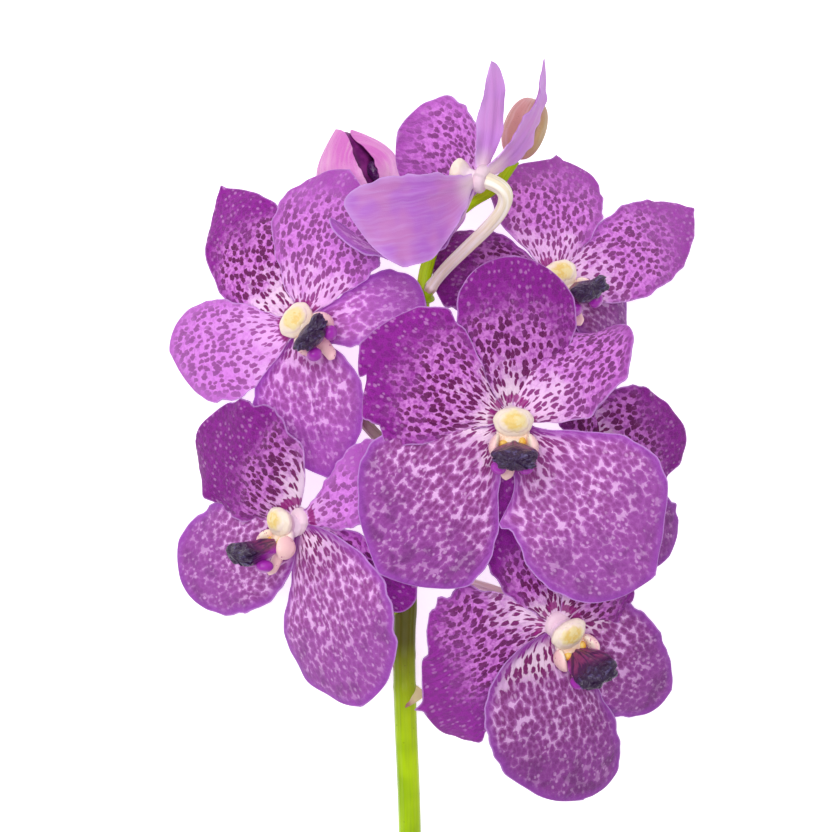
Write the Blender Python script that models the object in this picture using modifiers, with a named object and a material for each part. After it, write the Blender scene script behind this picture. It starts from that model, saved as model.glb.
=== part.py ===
"""A cut spray of vanda orchid, lying on its back on a table.

The stalk runs along Y, with its cut end at -Y. The flowers look up, +Z, and to the sides.
Every number in the tables is in millimetres, and the finished objects are in metres.
A flower is a ring of five tepals on a small flat base, with a column and a lip in front of it
and a flower stalk behind it.
"""
from math import pi, radians

import bmesh
import bpy
import numpy as np

MM = 0.001
GAP = 0.3                    # clearance between neighbouring pieces
JOINT_GAP = 0.8              # and between a bent stalk's ends and what they meet
ORIGIN = (5.9, -58.4)        # the layout's point that becomes the part's origin, x and y

TEPAL_THICK = 0.8
TEPAL_ACROSS = 6             # grid steps over a tepal's width
TEPAL_ALONG = 6              # grid steps over a tepal's length
BUD_ACROSS = 4               # grid steps over the width of a tepal in the opening bud
NECK = 2.1                   # half width of a tepal where it leaves the base
TIP_END = 0.9993             # the outline stops just short of its point, so the tip has an edge

BASE_RADIUS = 4.6            # the flat base that the tepals grow from
BASE_FRONT = 1.8
BASE_BACK = -2.2

STALK_RADIUS = 1.7           # a flower stalk where it leaves the stem
OVARY_RADIUS = 2.4           # and where it meets the flower
STUB_RADIUS = 2.3            # the stem's short stub under each flower stalk
STUB_REACH = 5.6             # from the stem's middle line to the stub's end

STEM_RADIUS = 3.5
STEM_TIP_RADIUS = 1.7
STEM_RESOLUTION = 3
STEM_TAPER_START = -60.0     # the height along Y above which the stem thins
WELD = 0.00001               # in metres: points closer than this are one

STALK_STEPS = 9              # points along a flower stalk
STALK_PULL = 0.4             # the reach of its curve's handles, as a share of its length
COLUMN_FOOT_RADIUS = 3.0
COLUMN_HOOD_RADIUS = 5.2     # the column flares into its hood
COLUMN_HEIGHT = 7.2
SHARP_ANGLE = 50.0           # edges sharper than this, in degrees, aren't smoothed

# In a flower's own axes, to the right, up and forwards: the middle and the half sizes of
# the ellipsoids that make up the column
COLUMN_FOOT = ((0.0, -4.4, 5.0), (5.4, 4.0, 2.4))
ANTHER_CAP = ((0.0, 0.2, 8.0), (4.1, 3.2, 2.8))
SIDE_LOBE = ((5.2, -7.2, 6.6), (1.8, 4.2, 3.4))

# The lip's tongue: the points of its curve, and its half widths and half heights along it
LIP_LINE = [(0.0, -7.3, 7.05), (0.0, -11.0, 13.5), (0.0, -12.0, 22.0)]
LIP_WIDE = (1.8, 3.0, 3.6, 4.0, 4.6, 5.4, 4.6)
LIP_HIGH = (1.4, 2.6, 3.4, 3.4, 3.0, 2.6, 1.4)

# Each bract on the stem: its foot, its tip and its radius
BRACTS = [
    ((1.6, -87.8, 28.8), (-3.4, -93.0, 31.8), 2.2),
    ((-6.0, -77.2, 30.4), (-7.0, -81.2, 30.6), 1.3),
]
BRACT_OUTLINE = (0.6, 1.0, 0.7, 0.14)   # its radius from foot to tip, as a share of its fullest

# The closed bud: its middle, its axis, its length and its radius
CLOSED_BUD = ((34.3, 90.7, 42.5), (0.33, 0.92, 0.15), 19.6, 6.5)
BUD_RINGS = 9
BUD_SIDES = 10

# The stem's middle line from the cut end to the last bud: x, y and height
STEM_ROUTE = [
    (-0.6, -226.0, 3.2), (-1.2, -180.0, 10.5), (-2.1, -129.0, 20.0), (-3.3, -97.0, 27.0),
    (-3.7, -72.0, 31.0), (-2.6, -46.0, 33.0), (0.0, -1.0, 34.0), (2.0, 37.0, 34.0),
    (4.2, 50.0, 33.5), (8.5, 60.0, 33.0), (17.0, 67.5, 34.5), (25.0, 72.5, 38.0), (31.2, 80.8, 41.0),
]


def tepal(tip, wide, face=None, bow=(0.0, 0.0), claw=(0.85, 0.85), blunt=(0.5, 0.5), cup=-0.1, roll=0.0,
          twist=0.0, wave=(0.8, 2.0, 0.0)):
    """One tepal's sizes.

    tip is its offset from the flower's middle, and wide its half widths left and right of the
    midrib. face is where its inner side looks, if not the flower's own way.
    bow bends the midrib sideways and forwards. claw and blunt are the exponents of the outline
    at its narrow foot and at its tip, each for the left and for the right side. cup curls both
    edges forwards, as a share of the width.
    roll and twist turn the blade about its midrib, in degrees, all along and more to the tip.
    wave is the height of the wavy edge, its number of waves and their start.
    """
    return dict(tip=tip, wide=wide, face=face, bow=bow, claw=claw, blunt=blunt, cup=cup,
                roll=roll, twist=twist, wave=wave)


# Each flower: its middle, where it looks, which way its lip hangs, how far along Y its stalk
# leaves the stem, which way that stalk starts, and its five tepals. Where the tepals face
# another way than the column looks, that is faces. pull is the reach of the stalk's handle
# behind the flower, as a share of the stalk's length.
FLOWERS = {
    "1": dict(
        middle=(-36.3, 29.3, 38.0), looks=(-0.25, 0.15, 0.95), lip=(0.80, -0.60, 0.0),
        faces=(-0.40, 0.22, 0.89), root=-15.0, start=(-0.8, 0.5, 0.1),
        tepals=[
            tepal((-27.5, 45.3, -38.2), (15.5, 16.5), bow=(-2.0, 4.0), claw=(0.8, 0.85),
                  blunt=(0.9, 0.8)),
            tepal((15.0, 49.3, -5.0), (18.5, 23.5), bow=(-2.0, 3.0), claw=(1.3, 1.1),
                  blunt=(0.8, 1.0)),
            tepal((-43.2, -8.4, -18.0), (21.4, 13.5), bow=(0.0, 4.0), claw=(1.0, 1.2),
                  blunt=(0.8, 0.55)),
            tepal((8.5, -49.0, -4.0), (17.7, 22.0), bow=(0.0, 3.0), claw=(0.9, 1.1),
                  blunt=(0.9, 1.0)),
            tepal((39.5, 5.8, 2.0), (13.0, 11.0), bow=(0.0, 3.0), claw=(1.2, 0.6),
                  blunt=(0.4, 0.65)),
        ],
    ),
    "2": dict(
        middle=(29.2, -1.2, 80.0), looks=(0.03, -0.03, 1.0), lip=(0.0, -1.0, 0.0),
        root=-40.0, start=(0.5, 0.3, 0.8),
        tepals=[
            tepal((0.1, 50.2, -8.0), (17.0, 19.9), bow=(0.0, 3.0), claw=(0.95, 1.0),
                  blunt=(0.5, 0.57), cup=-0.15),
            tepal((-46.0, 23.2, 0.0), (22.3, 20.4), bow=(0.0, 3.0), claw=(1.2, 1.5),
                  blunt=(0.82, 0.83), wave=(1.3, 3.0, 0.0)),
            tepal((34.0, 29.0, 0.0), (17.0, 16.8), bow=(0.0, 3.0), twist=75.0,
                  wave=(1.3, 3.0, 0.2)),
            tepal((-40.8, -47.0, -8.0), (23.9, 27.7), bow=(0.0, 4.0), claw=(1.6, 1.05),
                  blunt=(0.8, 0.95)),
            tepal((44.1, -47.5, -6.0), (24.6, 27.0), bow=(0.0, 5.0), claw=(1.5, 0.75),
                  blunt=(1.2, 0.45)),
        ],
    ),
    "3": dict(
        middle=(-37.0, -33.0, 48.0), looks=(-0.82, 0.05, 0.57), lip=(-0.31, -0.95, 0.0),
        faces=(-0.70, -0.10, 0.70), root=-62.0, start=(-0.8, 0.4, 0.2),
        tepals=[
            tepal((-33.8, 25.8, -27.0), (13.7, 26.5), bow=(0.0, 3.0), claw=(0.95, 0.4),
                  blunt=(0.55, 0.5), wave=(1.3, 3.0, 0.0)),
            tepal((-39.6, -19.9, -36.0), (19.4, 17.7), bow=(0.0, 0.0), claw=(0.57, 0.65),
                  blunt=(0.49, 0.43)),
            tepal((20.0, -57.8, 4.0), (28.1, 22.6), bow=(0.0, 3.0), claw=(0.7, 1.4),
                  blunt=(0.62, 0.8)),
            tepal((30.0, 17.0, 16.0), (12.6, 12.0), bow=(0.0, 3.0), claw=(1.4, 0.85),
                  blunt=(0.3, 0.5)),
            tepal((36.5, -25.3, 2.0), (11.8, 9.0), bow=(0.0, 3.0), blunt=(0.55, 0.4)),
        ],
    ),
    "4": dict(
        middle=(44.2, -65.1, 55.0), looks=(0.45, -0.30, 0.84), lip=(0.5, -0.87, 0.0),
        root=-50.0, start=(0.9, -0.1, 0.2),
        tepals=[
            tepal((-16.7, 35.5, 5.0), (13.0, 13.0), bow=(0.0, 3.0)),
            tepal((-42.8, -25.8, -2.0), (21.8, 31.0), bow=(0.0, 2.0), claw=(1.25, 0.95),
                  blunt=(0.3, 1.2), wave=(1.6, 4.0, 0.0)),
            tepal((9.2, -56.3, -18.0), (14.5, 30.4), bow=(0.0, 4.0), claw=(1.05, 0.46),
                  blunt=(0.3, 0.6)),
            tepal((37.4, -22.9, -27.0), (17.6, 16.3), bow=(0.0, 3.0), claw=(0.4, 0.95),
                  blunt=(0.75, 0.5)),
            tepal((21.0, 20.0, -4.0), (14.0, 14.0), bow=(0.0, 3.0)),
        ],
    ),
    "5": dict(
        middle=(43.1, 42.5, 38.0), looks=(0.30, 0.35, 0.88), lip=(0.4, -0.91, 0.0),
        root=12.0, start=(0.8, 0.5, 0.0),
        tepals=[
            tepal((2.4, 40.1, -18.0), (22.5, 16.1), bow=(0.0, 3.0), claw=(1.1, 0.95),
                  blunt=(0.7, 0.4)),
            tepal((47.4, 25.3, -38.2), (10.6, 18.8), bow=(0.0, 4.0), claw=(1.1, 0.6),
                  blunt=(0.8, 0.7)),
            tepal((25.0, -14.6, -16.0), (14.0, 14.0), bow=(0.0, 3.0)),
            tepal((2.5, -31.0, -4.0), (14.0, 14.0), bow=(0.0, 3.0)),
            tepal((-37.4, 7.9, -8.0), (18.0, 13.0), bow=(0.0, 3.0), claw=(1.0, 0.8),
                  blunt=(0.6, 0.4)),
        ],
    ),
    "6": dict(
        middle=(20.0, 73.5, 62.0), looks=(-0.93, 0.30, -0.25), lip=(0.0, -0.95, 0.25),
        root=36.0, start=(0.4, 0.7, 0.5), pull=0.44,
        tepals=[
            tepal((-41.8, -9.6, 20.0), (6.7, 21.3), face=(0.1, 0.2, -0.97), bow=(0.0, -7.0),
                  claw=(1.1, 1.5), blunt=(0.5, 0.9)),
            tepal((-47.0, -12.0, -6.0), (9.0, 9.0), face=(0.05, 0.97, 0.2), bow=(0.0, -18.0)),
            tepal((3.2, 36.0, 2.0), (6.7, 7.1), face=(-0.6, 0.0, -0.8), bow=(-2.0, 0.6),
                  claw=(0.8, 0.65), blunt=(0.5, 1.1)),
            tepal((19.9, 35.6, -8.0), (8.0, 8.0), face=(-0.85, 0.5, -0.1), bow=(0.0, -5.0),
                  claw=(0.6, 0.6), blunt=(0.8, 0.8), roll=20.0),
            tepal((-26.0, 16.8, -30.0), (21.0, 14.9), face=(-0.2, -0.4, 0.9), bow=(0.0, -10.0),
                  claw=(1.0, 1.5), blunt=(0.3, 0.77)),
        ],
    ),
    "7": dict(
        middle=(54.3, -15.3, 30.0), looks=(0.45, -0.05, 0.89), lip=(0.5, -0.87, 0.0),
        root=-30.0, start=(0.9, 0.2, -0.1),
        tepals=[
            tepal((32.7, 11.6, -16.0), (20.1, 13.9), bow=(0.0, 3.0), claw=(0.6, 0.9),
                  blunt=(0.7, 0.53)),
            tepal((27.9, -30.1, -16.0), (13.2, 14.4), bow=(0.0, 3.0), claw=(1.1, 0.87),
                  blunt=(0.55, 0.42)),
            tepal((1.6, 25.5, -4.0), (13.0, 13.0), bow=(0.0, 3.0)),
            tepal((-25.5, -1.6, 3.0), (13.0, 13.0), bow=(0.0, 3.0)),
            tepal((-5.0, -28.7, -8.0), (13.0, 13.0), bow=(0.0, 3.0)),
        ],
    ),
}


def unit(vectors):
    """Vectors of length 1 along the last axis."""
    vectors = np.asarray(vectors, dtype=float)
    return vectors / np.linalg.norm(vectors, axis=-1, keepdims=True)


def tepal_points(shape, middle, faces, across, along):
    """A tepal's middle surface as a grid of points, foot to tip and left to right.

    The midrib is a quadratic Bezier curve. The half width at v along it is
    wide * v^claw * (1 - v)^blunt over its own peak, on each side with that side's numbers, and
    joined to the neck by the root of the sum of squares. Across it the surface is a parabola,
    whose edges rise and fall in a sine.
    """
    v = TIP_END * (1.0 - np.cos(pi * np.linspace(0.0, 1.0, along + 1)))[:, None] / 2.0
    u = np.linspace(-1.0, 1.0, across + 1)[None, :]
    face = unit(shape["face"] or faces)
    tip = np.array(shape["tip"])
    foot = unit(tip) * 1.2
    side = unit(np.cross(tip - foot, face))
    rise = np.cross(side, unit(tip - foot))
    bend = (foot + tip) / 2.0 + side * shape["bow"][0] * 2.0 + rise * shape["bow"][1] * 2.0
    rib = (1 - v) ** 2 * foot + 2 * v * (1 - v) * bend + v ** 2 * tip
    ahead = unit((1 - v) * (bend - foot) + v * (tip - bend))
    side = unit(np.cross(ahead, face))
    rise = np.cross(side, ahead)
    turn = np.radians(shape["roll"] + shape["twist"] * v)
    side, rise = side * np.cos(turn) + rise * np.sin(turn), rise * np.cos(turn) - side * np.sin(turn)
    claw = np.where(u < 0.0, *shape["claw"])
    blunt = np.where(u < 0.0, *shape["blunt"])
    top = claw / (claw + blunt)
    outline = v ** claw * (1 - v) ** blunt / (top ** claw * (1 - top) ** blunt)
    half = np.where(u < 0.0, shape["wide"][0], shape["wide"][1]) * outline
    half = np.sqrt(half ** 2 + (NECK * (1 - v) ** 2) ** 2)
    height, count, start = shape["wave"]
    phase = 2 * pi * (count * v + start) + np.where(u < 0.0, 0.0, 1.9)
    ripple = height * np.abs(u) ** 2.5 * np.sin(phase) * np.sqrt(v * (1 - v)) * 2.0
    lift = shape["cup"] * half * u ** 2 + ripple
    spread = side[:, None, :] * (half * u)[:, :, None]
    raised = rise[:, None, :] * lift[:, :, None]
    return rib[:, None, :] + spread + raised + np.array(middle)


def cupped_tepal(axis, angle, reach, bulge, wide, parting):
    """A tepal of a bud: it bulges out from the bud's axis and comes back to it at the tip.

    The angle is about the axis, from the side that looks up. parting is how far its tip stands
    off the axis.
    """
    axis = unit(axis)
    up = unit(np.array((0.0, 0.0, 1.0)) - axis * axis[2])
    across = np.cross(axis, up)
    out = up * np.cos(radians(angle)) + across * np.sin(radians(angle))
    tip = axis * reach + out * parting
    return tepal(tuple(tip), (wide, wide), face=tuple(-out), bow=(0.0, -bulge), claw=(0.5, 0.5),
                 blunt=(0.5, 0.5), cup=0.42, wave=(0.0, 1.0, 0.0))


# The flower that is just opening, with the middle and the half sizes of its dark lip
OPENING_AXIS = (-0.36, 0.93, 0.02)
OPENING_BUD = dict(
    middle=(-13.0, 62.5, 14.5), looks=OPENING_AXIS, lip=(0.39, 0.15, 0.91),
    root=56.0, start=(-0.8, -0.5, -0.3),
    tepals=[
        cupped_tepal(OPENING_AXIS, -52.0, 33.0, 11.5, 12.0, 1.5),
        cupped_tepal(OPENING_AXIS, 80.0, 31.0, 11.5, 11.0, 3.5),
        cupped_tepal(OPENING_AXIS, 188.0, 32.0, 10.0, 11.0, 1.0),
        cupped_tepal(OPENING_AXIS, 135.0, 27.0, 8.0, 8.0, 1.0),
        cupped_tepal(OPENING_AXIS, -120.0, 27.0, 8.0, 8.0, 1.0),
    ],
)
OPENING_LIP = ((2.0, -9.4, 15.5), (2.4, 2.4, 3.4))

# What touches the surface, and is cut flat where it does
RESTING = ("stem", "perianth_1", "perianth_5")
ALL_FLOWERS = dict(FLOWERS, opening=OPENING_BUD)


def flower_axes(flower):
    """The flower's own right, up and forward directions, up being away from its lip."""
    ahead = unit(flower["looks"])
    up = -np.array(flower["lip"])
    up = unit(up - ahead * (up @ ahead))
    return np.cross(up, ahead), up, ahead


def in_flower(flower, points):
    """Points given to the right, up and forwards of a flower's middle, in the layout's axes."""
    return np.asarray(points) @ np.array(flower_axes(flower)) + np.array(flower["middle"])


def bezier(points, steps):
    """Points along a Bezier curve of any degree, by mixing neighbouring points again and again."""
    t = np.linspace(0.0, 1.0, steps)[:, None, None]
    row = np.repeat(np.asarray(points, dtype=float)[None, :, :], steps, axis=0)
    while row.shape[1] > 1:
        row = row[:, :-1] * (1 - t) + row[:, 1:] * t
    return row[:, 0]


def smooth_route(points, steps):
    """A Catmull-Rom curve through the points, with the same number of steps between each two."""
    route = np.asarray(points, dtype=float)
    route = np.vstack([2 * route[0] - route[1], route, 2 * route[-1] - route[-2]])
    t = np.linspace(0.0, 1.0, steps, endpoint=False)[:, None]
    runs = []
    for a, b, c, d in zip(route[:-3], route[1:-2], route[2:-1], route[3:]):
        runs.append(0.5 * (2 * b + (c - a) * t + (2 * a - 5 * b + 4 * c - d) * t ** 2
                           + (3 * b - a - 3 * c + d) * t ** 3))
    return np.vstack(runs + [route[-2:-1]])


def stem_point(height):
    """The stem's middle line where it passes a height along Y."""
    route = smooth_route(STEM_ROUTE, 8)
    return np.array([np.interp(height, route[:, 1], route[:, axis]) for axis in range(3)])


def stalk_route(flower):
    """A flower stalk's middle line, from its stub on the stem to the back of the flower."""
    root = stem_point(flower["root"])
    out = unit(flower["start"])
    ahead = unit(flower["looks"])
    first = root + out * (STUB_REACH + JOINT_GAP)
    last = np.array(flower["middle"]) + ahead * (BASE_BACK - JOINT_GAP)
    reach = np.linalg.norm(last - first)
    bends = [first + out * reach * STALK_PULL, last - ahead * reach * flower.get("pull", STALK_PULL)]
    return bezier([first, *bends, last], STALK_STEPS)


def start_clean():
    """Removes whatever the file opened with."""
    for item in list(bpy.data.objects):
        bpy.data.objects.remove(item, do_unlink=True)


def placed(points):
    """Layout points in millimetres as the part's points in metres."""
    return (np.asarray(points) - np.array((ORIGIN[0], ORIGIN[1], 0.0))) * MM


def new_material(name, colour, roughness):
    material = bpy.data.materials.new(name)
    material.use_nodes = True
    shader = material.node_tree.nodes["Principled BSDF"]
    shader.inputs["Base Color"].default_value = (*colour, 1.0)
    shader.inputs["Roughness"].default_value = roughness
    shader.inputs["Metallic"].default_value = 0.0
    return material


def new_object(name, mesh, group, material=None):
    item = bpy.data.objects.new(name, mesh)
    group.objects.link(item)
    if material:
        mesh.materials.append(material)
    return item


def new_group(name):
    group = bpy.data.collections.new(name)
    bpy.context.scene.collection.children.link(group)
    return group


def sheet_mesh(name, points):
    """An open surface through a grid of points, each cell split along the same diagonal."""
    rows, columns = points.shape[:2]
    index = np.arange(rows * columns).reshape(rows, columns)
    a, b = index[:-1, :-1].ravel(), index[:-1, 1:].ravel()
    c, d = index[1:, 1:].ravel(), index[1:, :-1].ravel()
    faces = np.concatenate([np.stack([a, b, c], 1), np.stack([a, c, d], 1)])
    mesh = bpy.data.meshes.new(name)
    mesh.from_pydata(placed(points).reshape(-1, 3).tolist(), [], faces.tolist())
    return mesh


def loft_mesh(name, rings):
    """A closed body over rings of points, with flat ends."""
    count, sides = rings.shape[:2]
    body = bmesh.new()
    verts = [[body.verts.new(point) for point in ring] for ring in placed(rings)]
    for low, high in zip(verts[:-1], verts[1:]):
        for k in range(sides):
            body.faces.new((low[k], low[(k + 1) % sides], high[(k + 1) % sides], high[k]))
    body.faces.new(verts[0][::-1])
    body.faces.new(verts[-1])
    bmesh.ops.triangulate(body, faces=body.faces[:])
    body.normal_update()
    bmesh.ops.recalc_face_normals(body, faces=body.faces[:])
    mesh = bpy.data.meshes.new(name)
    body.to_mesh(mesh)
    body.free()
    return mesh


def ring_points(middles, across, rise, wide, high, sides):
    """Rings of points about a middle line: at each point an ellipse, across by rise."""
    turn = np.linspace(0.0, 2 * pi, sides, endpoint=False)[None, :, None]
    wide = np.asarray(wide)[:, None, None]
    high = np.asarray(high)[:, None, None]
    return (np.asarray(middles)[:, None, :] + np.asarray(across)[..., None, :] * np.cos(turn) * wide
            + np.asarray(rise)[..., None, :] * np.sin(turn) * high)


def ball_mesh(name, flower, middle, radii, segments=8, rings=5):
    """An ellipsoid in a flower's own axes."""
    body = bmesh.new()
    bmesh.ops.create_uvsphere(body, u_segments=segments, v_segments=rings, radius=1.0)
    for vert in body.verts:
        local = [vert.co[k] * radii[k] + middle[k] for k in range(3)]
        vert.co = placed(in_flower(flower, local))
    mesh = bpy.data.meshes.new(name)
    body.to_mesh(mesh)
    body.free()
    return mesh


def cone_mesh(name, flower, low, high, segments):
    """A round post along a flower's forward axis: low and high are (radius, distance forwards)."""
    body = bmesh.new()
    bmesh.ops.create_cone(body, cap_ends=True, segments=segments, radius1=low[0], radius2=high[0],
                          depth=high[1] - low[1])
    for vert in body.verts:
        forwards = vert.co.z + (low[1] + high[1]) / 2
        vert.co = placed(in_flower(flower, (vert.co.x, vert.co.y, forwards)))
    mesh = bpy.data.meshes.new(name)
    body.to_mesh(mesh)
    body.free()
    return mesh


def tube_curve(name, route, radii, resolution):
    """A curve object's data along a middle line, its radius set point by point."""
    curve = bpy.data.curves.new(name, "CURVE")
    curve.dimensions = "3D"
    curve.bevel_depth = MM
    curve.bevel_resolution = resolution
    curve.use_fill_caps = True
    spline = curve.splines.new("POLY")
    spline.points.add(len(route) - 1)
    for point, place, radius in zip(spline.points, placed(route), radii):
        point.co = (*place, 1.0)
        point.radius = radius
    return curve


def tube_mesh(name, route, radii, resolution):
    """The same tube as a closed mesh, which a Boolean can read."""
    guide = bpy.data.objects.new(name, tube_curve(name, route, radii, resolution))
    bpy.context.scene.collection.objects.link(guide)
    graph = bpy.context.evaluated_depsgraph_get()
    mesh = bpy.data.meshes.new_from_object(guide.evaluated_get(graph))
    bpy.data.objects.remove(guide)
    body = bmesh.new()
    body.from_mesh(mesh)
    bmesh.ops.remove_doubles(body, verts=body.verts[:], dist=WELD)
    bmesh.ops.triangulate(body, faces=body.faces[:])
    bmesh.ops.recalc_face_normals(body, faces=body.faces[:])
    body.to_mesh(mesh)
    body.free()
    return mesh


def fuse(target, meshes, wall=None):
    """Joins meshes to the target object with one Boolean union, and removes what was joined.

    With a wall, the meshes are open sheets, and each gets that thickness first.
    """
    joined = new_group(target.name + "_joined")
    for mesh in meshes:
        item = new_object(mesh.name, mesh, joined)
        if wall:
            blade = item.modifiers.new("blade", "SOLIDIFY")
            blade.thickness = wall
            blade.offset = 0.0
    union = target.modifiers.new("union", "BOOLEAN")
    union.operation = "UNION"
    union.operand_type = "COLLECTION"
    union.collection = joined
    union.solver = "MANIFOLD"
    bpy.context.view_layer.update()
    graph = bpy.context.evaluated_depsgraph_get()
    mesh = bpy.data.meshes.new_from_object(target.evaluated_get(graph))
    target.modifiers.clear()
    mesh.materials.clear()
    for slot in target.data.materials:
        mesh.materials.append(slot)
    target.data = mesh
    for item in list(joined.objects):
        bpy.data.objects.remove(item)
    bpy.data.collections.remove(joined)
    body = bmesh.new()
    body.from_mesh(mesh)
    bmesh.ops.triangulate(body, faces=body.faces[:])
    for face in body.faces:
        face.material_index = 0
    body.to_mesh(mesh)
    body.free()
    mesh.shade_smooth()
    mesh.set_sharp_from_angle(angle=radians(SHARP_ANGLE))


def rest_on_surface(item, cutters):
    """Cuts an object flat where it presses on the surface that the spray lies on."""
    cut = item.modifiers.new("surface", "BOOLEAN")
    cut.operation = "DIFFERENCE"
    cut.solver = "EXACT"
    cut.object = cutters.objects["surface"]


def make_surface(cutters):
    """A slab under height zero, as a cutter."""
    body = bmesh.new()
    bmesh.ops.create_cube(body, size=1.0)
    bmesh.ops.translate(body, verts=body.verts[:], vec=(0.0, 0.0, -0.5))
    mesh = bpy.data.meshes.new("surface")
    body.to_mesh(mesh)
    body.free()
    slab = new_object("surface", mesh, cutters)
    slab.hide_render = True
    slab.display_type = "WIRE"


def make_perianth(label, flower, group, material, across=TEPAL_ACROSS):
    """Five tepals grown together on the flower's flat base."""
    base = cone_mesh("perianth_" + label, flower, (BASE_RADIUS, BASE_BACK),
                     (BASE_RADIUS, BASE_FRONT), 12)
    item = new_object("perianth_" + label, base, group, material)
    sheets = []
    faces = flower.get("faces", flower["looks"])
    for k, shape in enumerate(flower["tepals"]):
        points = tepal_points(shape, flower["middle"], faces, across, TEPAL_ALONG)
        sheets.append(sheet_mesh("tepal_%s_%d" % (label, k), points))
    fuse(item, sheets, TEPAL_THICK * MM)


def make_column(label, flower, group, material):
    """The column with its flared hood and anther cap, and the lip's two pale side lobes."""
    post = cone_mesh("column_" + label, flower, (COLUMN_FOOT_RADIUS, BASE_FRONT + JOINT_GAP),
                     (COLUMN_HOOD_RADIUS, COLUMN_HEIGHT), 10)
    item = new_object("column_" + label, post, group, material)
    foot_middle, foot_size = COLUMN_FOOT
    cap_middle, cap_size = ANTHER_CAP
    lobe_middle, lobe_size = SIDE_LOBE
    fuse(item, [
        ball_mesh("foot", flower, foot_middle, foot_size),
        ball_mesh("cap", flower, cap_middle, cap_size),
        ball_mesh("lobe_right", flower, lobe_middle, lobe_size),
        ball_mesh("lobe_left", flower, (-lobe_middle[0], lobe_middle[1], lobe_middle[2]), lobe_size),
    ])


def make_lip(label, flower, group, material):
    """The lip's dark tongue: ellipses along a curve that leaves the column's foot."""
    line = bezier(LIP_LINE, len(LIP_WIDE))
    ahead = unit(np.gradient(line, axis=0))
    across = np.broadcast_to(np.array((1.0, 0.0, 0.0)), ahead.shape)
    rings = ring_points(line, across, np.cross(ahead, across), LIP_WIDE, LIP_HIGH, 8)
    new_object("lip_" + label, loft_mesh("lip_" + label, in_flower(flower, rings)), group, material)


def make_stalk(label, flower, group, material):
    """A flower's stalk, with the ovary as its thicker upper end."""
    route = stalk_route(flower)
    radii = np.linspace(STALK_RADIUS, OVARY_RADIUS, len(route))
    curve = tube_curve("stalk_" + label, route, radii, 2)
    curve.materials.append(material)
    group.objects.link(bpy.data.objects.new("stalk_" + label, curve))


def make_stem(group, material):
    """The green stem with a short stub for each flower stalk, and two bracts."""
    route = smooth_route(STEM_ROUTE, 2)
    taper = [STEM_TAPER_START, STEM_ROUTE[-1][1]]
    radii = np.interp(route[:, 1], taper, [STEM_RADIUS, STEM_TIP_RADIUS])
    item = new_object("stem", tube_mesh("stem", route, radii, STEM_RESOLUTION), group, material)
    stubs = []
    for label, flower in ALL_FLOWERS.items():
        root = stem_point(flower["root"])
        end = root + unit(flower["start"]) * STUB_REACH
        line = np.array([root, end])
        stubs.append(tube_mesh("stub_" + label, line, [STUB_RADIUS, STALK_RADIUS], 2))
    for k, (foot, tip, radius) in enumerate(BRACTS):
        line = np.linspace(foot, tip, len(BRACT_OUTLINE))
        radii = [radius * share for share in BRACT_OUTLINE]
        stubs.append(tube_mesh("bract_%d" % k, line, radii, 2))
    fuse(item, stubs)


def make_closed_bud(group, material):
    """The last bud, still shut: an egg of rings along its axis."""
    middle, axis, length, radius = CLOSED_BUD
    axis = unit(axis)
    across = unit(np.cross(axis, (0.0, 0.0, 1.0)))
    t = np.linspace(0.0, 1.0, BUD_RINGS)
    line = np.array(middle) + axis * -np.cos(pi * t)[:, None] * length / 2
    wide = radius * (np.sin(pi * (0.04 + 0.92 * t)) ** 0.8)
    rings = ring_points(line, across, np.cross(axis, across), wide, wide, BUD_SIDES)
    new_object("closed_bud", loft_mesh("closed_bud", rings), group, material)


def make_opening_bud(group, materials):
    """A flower that is just opening: five cupped tepals about its axis, and the dark lip inside."""
    perianth, lip = materials
    make_perianth("opening", OPENING_BUD, group, perianth, BUD_ACROSS)
    new_object("lip_opening", ball_mesh("lip_opening", OPENING_BUD, *OPENING_LIP), group, lip)


def main():
    start_clean()
    group = new_group("cut_vanda_orchid")
    cutters = new_group("cutters")
    make_surface(cutters)
    tepal_skin = new_material("tepal", (0.36, 0.05, 0.32), 0.5)
    column_skin = new_material("column", (0.85, 0.62, 0.50), 0.5)
    lip_skin = new_material("lip", (0.04, 0.01, 0.06), 0.35)
    stalk_skin = new_material("flower_stalk", (0.70, 0.60, 0.42), 0.5)
    stem_skin = new_material("stem", (0.30, 0.48, 0.02), 0.45)
    bud_skin = new_material("bud", (0.55, 0.30, 0.30), 0.5)
    for label, flower in FLOWERS.items():
        make_perianth(label, flower, group, tepal_skin)
        make_column(label, flower, group, column_skin)
        make_lip(label, flower, group, lip_skin)
    make_opening_bud(group, (tepal_skin, lip_skin))
    make_closed_bud(group, bud_skin)
    for label, flower in ALL_FLOWERS.items():
        make_stalk(label, flower, group, stalk_skin)
    make_stem(group, stem_skin)
    for name in RESTING:
        rest_on_surface(group.objects[name], cutters)


main()
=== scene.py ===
"""Dresses a cut spray of vanda orchid, which lies on its back on a pale table.

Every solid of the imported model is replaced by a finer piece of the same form: the tepals get
their edges, creases and spots, and the columns, lips, stalks, buds and stem their relief.
The tables are in millimetres, in the layout that the solids were drawn in, and placed() turns
them into the frame's metres.
"""
from math import pi, radians, tau

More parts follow.
